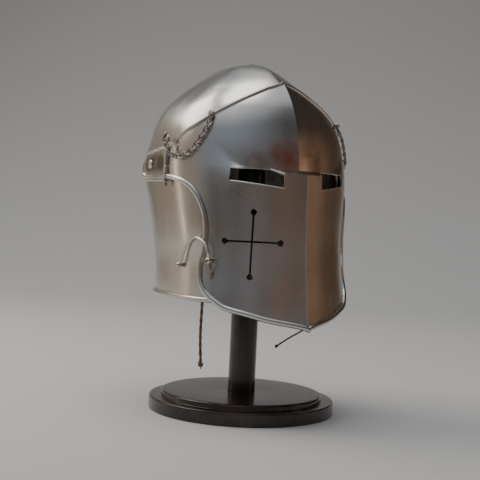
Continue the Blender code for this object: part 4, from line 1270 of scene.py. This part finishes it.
@dataclass
class Lace:
    """A chin lace hanging from its lug, knotted at its free end."""

    side: Side
    radius: float
    knot_radius: float
    knot_height: float
    route: Table
    stiffness: str
    lug_radius: float = 0.0024
    lug_length: float = 0.0085
    strand_depth: float = 0.12
    strand_pitch: float = 5.0
    knot_wire: float = 0.24
    knot_leans: Numbers = (-0.35, 0.3, -0.2)
    knot_taper: float = 0.12
    tail: Table = ((0.6, 0.0), (1.1, 0.3), (1.6, 0.5))

    def lug(self) -> Mesh:
        """The lug inside the skull that the lace hangs from."""
        x, y, z = self.route[0]
        start = (x - self.lug_length / 2, y, z + GAP + self.lug_radius)
        return barrel(self.lug_length, self.lug_radius, start, (1, 0, 0), 24)

    def knot_mesh(self, end: Vector, along: Vector) -> Mesh:
        """A tight knot of three turns, with a short tail."""
        side = along.orthogonal().normalized()
        wire = self.knot_height * self.knot_wire
        reach = self.knot_radius - wire
        turns = []
        for k, lean in enumerate(self.knot_leans):
            normal = Matrix.Rotation(lean, 3, side) @ along
            across = normal.cross(side).normalized()
            middle = end + along * (GAP + wire + k * (self.knot_height - 2 * wire) / 2)
            size = reach * (1 - self.knot_taper * k)
            turns.append(tube(ring(middle, side * size, across * size, 26), wire, 10, closed=True))
        core = [(GAP, 0), (GAP, reach * 0.9), (self.knot_height * 0.9, reach * 0.8), (self.knot_height, 0)]
        tail = [end + along * self.knot_height * rise + side * reach * out for rise, out in self.tail]
        return joined([*turns, lathe(core, end, along, 20), tube(even_route(tail, 0.0006), wire * 0.6, 10)])

    def build(self, leather: Material) -> None:
        """Adds lace and knot."""
        label = self.side.label
        points = even_route(self.route, self.radius * 4)
        fine = even_route(self.route, 0.0006)
        twist = route_length(fine) / (self.radius * self.strand_pitch) * tau

        def strand(share: float, turn: float) -> float:
            """Radius of a lace of two twisted strands."""
            return self.radius * (1 - self.strand_depth + self.strand_depth * cos(2 * turn + share * twist))

        lace = Piece(f"lace_{label}_piece", Body.HELMET, "lace_leather", leather, f"lace_{label}").add(
            tube(fine, strand, 12))
        along = (points[-1] - points[-2]).normalized()
        knot = Piece(f"knot_{label}_piece", Body.HELMET, "lace_leather", leather, f"lace_knot_{label}", 60.0).add(
            self.knot_mesh(points[-1], along))


@dataclass
class Stand:
    """The turned two-step base and the post."""

    radius: float = 0.109
    thickness: float = 0.015
    step_radius: float = 0.0945
    step_thickness: float = 0.0065
    step_lean: float = 0.0004
    socket_depth: float = 0.010
    post_radius: float = 0.016
    post_foot: float = 0.0118
    post_top: float = 0.4011
    post_rounding: float = 0.012

    def build(self, wood: Material) -> None:
        """Adds base and post."""
        top = self.thickness + self.step_thickness
        hole = self.post_radius + GAP
        rows = [(0, 0, 0), (0, self.radius, 0.0010), (self.thickness, self.radius, 0.0022),
                (self.thickness, self.step_radius + self.step_lean, 0.0006), (top, self.step_radius, 0.0030),
                (top, hole, 0.0006), (top - self.socket_depth, hole, 0),
                (top - self.socket_depth, 0, 0)]
        Piece("base_turned", Body.HELMET, "stand_wood", wood, "stand_base", 50.0).add(
            lathe(rounded(rows, 8), (0, 0, 0), UP, 160))
        shoulder = self.post_top - self.post_rounding
        profile = [(self.post_foot, 0.0), (self.post_foot, self.post_radius), (shoulder, self.post_radius),
                   *dome(shoulder, self.post_rounding, self.post_radius, 0.1, 14)]
        Piece("post_turned", Body.HELMET, "stand_wood", wood, "post", 50.0).add(lathe(profile, (0, 0, 0), UP, 64))


@dataclass(frozen=True)
class SoftBox:
    """A soft rectangular light round the helmet, placed by its bearing from the camera."""

    name: str
    bearing: float
    rise: float
    distance: float
    size: tuple[float, float]
    power: float
    colour: Colour


@dataclass(frozen=True)
class Room:
    """The room that the steel mirrors: cool in front and above, warm at the sides, dark beyond the far cheek."""

    dark: Colour = (0.080, 0.072, 0.066)
    grey: Colour = (0.26, 0.255, 0.26)
    rust: Colour = (0.24, 0.135, 0.080)
    cool: Colour = (0.25, 0.29, 0.35)
    sky: Colour = (0.62, 0.65, 0.68)
    ground: Colour = (0.022, 0.018, 0.015)
    warm: Colour = (0.30, 0.25, 0.19)
    dusk: Colour = (0.035, 0.025, 0.019)
    ember: Colour = (0.23, 0.135, 0.080)

    def build(self, warm_side: Vector, dusk_side: Vector) -> None:
        """Sets the world.

        Args:
            warm_side: where the warm wall stands.
            dusk_side: where the room is dark.
        """
        world = bpy.data.worlds.new("room")
        bpy.context.scene.world = world
        g = Graph(world, "Background", "Generated")
        posts = g.patches(0.34, 0.68, 2.6, 1.0, 0.5, coords=g.stretched(1.0, 1.0, 0.25))
        rust = g.patches(0.50, 0.66, 5.5, 1.0, 0.5, coords=g.stretched(1.0, 1.0, 0.12))
        height = g.height()
        colour = g.mix(g.mix(self.dark, self.grey, posts), self.rust, rust)
        colour = g.mix(colour, self.cool, g.smooth(height, 0.16, 0.48))
        colour = g.mix(colour, self.sky, g.smooth(height, 0.62, 0.95))
        colour = g.mix(self.ground, colour, g.smooth(height, -0.25, 0.02))
        colour = g.mix(colour, self.warm, g.smooth(g.toward(warm_side), 0.45, 0.98))
        dusk = g.smooth(g.toward(dusk_side), 0.05, 0.80) * g.smooth(height, 0.92, 0.72)
        low = posts * g.smooth(height, 0.42, 0.12)
        g.surface(Color=g.mix(colour, g.mix(self.dusk, self.ember, low), dusk), Strength=1.0)


@dataclass
class Studio:
    """Camera at the photograph's angle, pale floor with its backdrop, and soft lights."""

    azimuth: float = -33.0
    distance: float = 1.25
    height: float = 0.2415
    aside: float = 0.0099
    pitch: float = 1.92
    roll: float = 2.75
    lens: float = 79.4
    pale: Colour = (0.74, 0.73, 0.71)
    sweep_half_width: float = 1.15
    sweep_front: float = -0.75
    sweep_top: float = 2.2
    floor_drop: float = 0.0002
    aim: Numbers = (0.0, 0.0, 0.26)
    backdrop_behind: float = 1.3
    backdrop_bend: float = 0.9
    boxes: tuple[SoftBox, ...] = (
        SoftBox("key", -106.0, 46.0, 1.5, (1.0, 0.9), 10.0, (1.0, 0.95, 0.88)),
        SoftBox("top", -90.0, 87.0, 1.5, (0.8, 0.7), 4.5, (0.98, 0.97, 0.97)),
        SoftBox("strip", -99.0, 2.0, 1.4, (0.10, 0.8), 0.6, (1.0, 0.86, 0.70)),
        SoftBox("ember", 84.0, 4.0, 1.5, (0.3, 0.5), 0.45, (1.0, 0.62, 0.38)),
    )

    def ahead(self) -> Vector:
        """The level view direction."""
        turn = radians(-self.azimuth)
        return Vector((sin(turn), cos(turn), 0))

    def right(self) -> Vector:
        """The level direction to the view's right."""
        return self.ahead().cross(UP)

    def bearing(self, angle: float, rise: float) -> Vector:
        """Direction from the helmet: angle from the camera to the view's right, and its rise."""
        turn, up = radians(angle), radians(rise)
        level = self.right() * sin(turn) - self.ahead() * cos(turn)
        return level * cos(up) + UP * sin(up)

    def camera(self) -> None:
        """Adds the camera."""
        ahead, right = self.ahead(), self.right()
        pitch, roll = radians(self.pitch), radians(self.roll)
        look = ahead * cos(pitch) - UP * sin(pitch)
        up = right.cross(look)
        side = right * cos(roll) + up * sin(roll)
        top = up * cos(roll) - right * sin(roll)
        data = bpy.data.cameras.new("view")
        data.lens = self.lens
        data.sensor_width = 36.0
        data.clip_start = 0.01
        camera = linked("view", data)
        place = -ahead * self.distance - right * self.aside + UP * self.height
        camera.matrix_world = Matrix.Translation(place) @ Matrix((side, top, -look)).transposed().to_4x4()
        bpy.context.scene.camera = camera

    def light(self, box: SoftBox) -> None:
        """Adds one soft box."""
        data = bpy.data.lights.new(box.name, 'AREA')
        data.shape = 'RECTANGLE'
        data.size, data.size_y = box.size
        data.energy = box.power
        data.color = box.colour
        lamp = linked(box.name, data)
        direction = self.bearing(box.bearing, box.rise)
        lamp.location = Vector(self.aim) + direction * box.distance
        lamp.rotation_euler = (-direction).to_track_quat('-Z', 'Y').to_euler()

    def backdrop(self) -> None:
        """Adds the pale floor, swept up behind the helmet."""
        bend = [(self.backdrop_behind + self.backdrop_bend * sin(t), self.backdrop_bend * (1 - cos(t)))
                for t in np.linspace(0, pi / 2, 24)]
        profile = [(self.sweep_front, 0.0), (0.0, 0.0), *bend, (bend[-1][0], self.sweep_top)]
        last = len(profile) - 1

        def place(across: float, up: float) -> Vector:
            """A vertex, a little below the base."""
            along, height = profile[round(up * last)]
            level = self.right() * (2 * across - 1) * self.sweep_half_width + self.ahead() * along
            return level + UP * (height - self.floor_drop)

        mesh = as_mesh("floor", grid(2, last, place))
        mesh.shade_smooth()
        mesh.materials.append(PlainPaint("floor_paint", self.pale).material())
        floor = linked("floor", mesh)

    def build(self) -> None:
        """Adds camera, lights, room and floor."""
        self.camera()
        for box in self.boxes:
            self.light(box)
        Room().build(self.bearing(-100, 12), self.bearing(106, 22))
        self.backdrop()


def main() -> None:
    """Builds every piece over the frame."""
    logging.basicConfig(level=logging.INFO, format="%(message)s")
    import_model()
    Studio().build()
    leather = WornLeather("lace_leather").material()
    laces = [
        Lace(Side.RIGHT, 0.0018, 0.0034, 0.0046, (
            (-0.0854, -0.0430, 0.1463), (-0.0854, -0.0430, 0.1400), (-0.0855, -0.0430, 0.1300),
            (-0.0856, -0.0428, 0.1200), (-0.0857, -0.0426, 0.1100), (-0.0859, -0.0428, 0.1000),
            (-0.0860, -0.0434, 0.0900), (-0.0861, -0.0444, 0.0800), (-0.0862, -0.0456, 0.0720),
            (-0.0862, -0.0464, 0.0655)), "limp"),
        Lace(Side.LEFT, 0.0011, 0.0020, 0.0028, (
            (0.0862, -0.0430, 0.1463), (0.0862, -0.0430, 0.1400), (0.0860, -0.0425, 0.1310),
            (0.0852, -0.0405, 0.1220), (0.0832, -0.0370, 0.1130), (0.0795, -0.0325, 0.1050),
            (0.0740, -0.0275, 0.0985), (0.0665, -0.0225, 0.0925), (0.0580, -0.0180, 0.0868),
            (0.0490, -0.0145, 0.0808), (0.0410, -0.0120, 0.0752)), "stiff"),
    ]
    for lace in laces:
        lace.build(leather)
    visor = Visor()
    skull_steel = PolishedSteel("skull_steel").material()
    visor_steel = PolishedSteel("visor_steel", stains=(
        Stain((-0.018, -0.093, 0.296), 0.008, 0.026, (0.50, 0.19, 0.10), 0.85),
        Stain((0.020, -0.092, 0.292), 0.008, 0.030, (0.26, 0.12, 0.07), 0.7),
        Stain((-0.050, -0.086, 0.288), 0.006, 0.024, (0.30, 0.22, 0.16), 0.6),)).material()
    arm_steel = PolishedSteel("arm_steel", roughness=0.22, stains=tuple(
        Stain((side.value * 0.112, y, 0.284), 0.006, 0.015, (0.13, 0.12, 0.095), 0.85)
        for side in Side for y in (0.018, 0.033, 0.048))).material()
    fitting = WornSteel("fitting_steel", (0.30, 0.25, 0.21), (0.66, 0.62, 0.57)).material()
    stud = WornSteel("stud_steel", (0.42, 0.42, 0.42), (0.60, 0.60, 0.60), rust=(0.30, 0.28, 0.26)).material()
    chain = WornSteel("chain_steel", (0.30, 0.28, 0.27), (0.72, 0.69, 0.65), rust=(0.30, 0.13, 0.09),
                      rubbed=0.55, roughness=0.26).material()
    Skull().build(skull_steel, [lace.lug() for lace in laces])
    hinges = [Hinge(side, visor) for side in Side]
    visor.build(visor_steel, [hinge.lower_knuckle() for hinge in hinges])
    for hinge in hinges:
        hinge.build(fitting, stud, chain)
        SideArm(hinge.side, hinge).build(arm_steel, skull_steel)
    Hook().build(PolishedSteel("hook_steel", roughness=0.12, wave=0.0).material(), fitting)
    Stand().build(LacqueredWood("stand_wood").material())


if __name__ == "__main__":
    main()
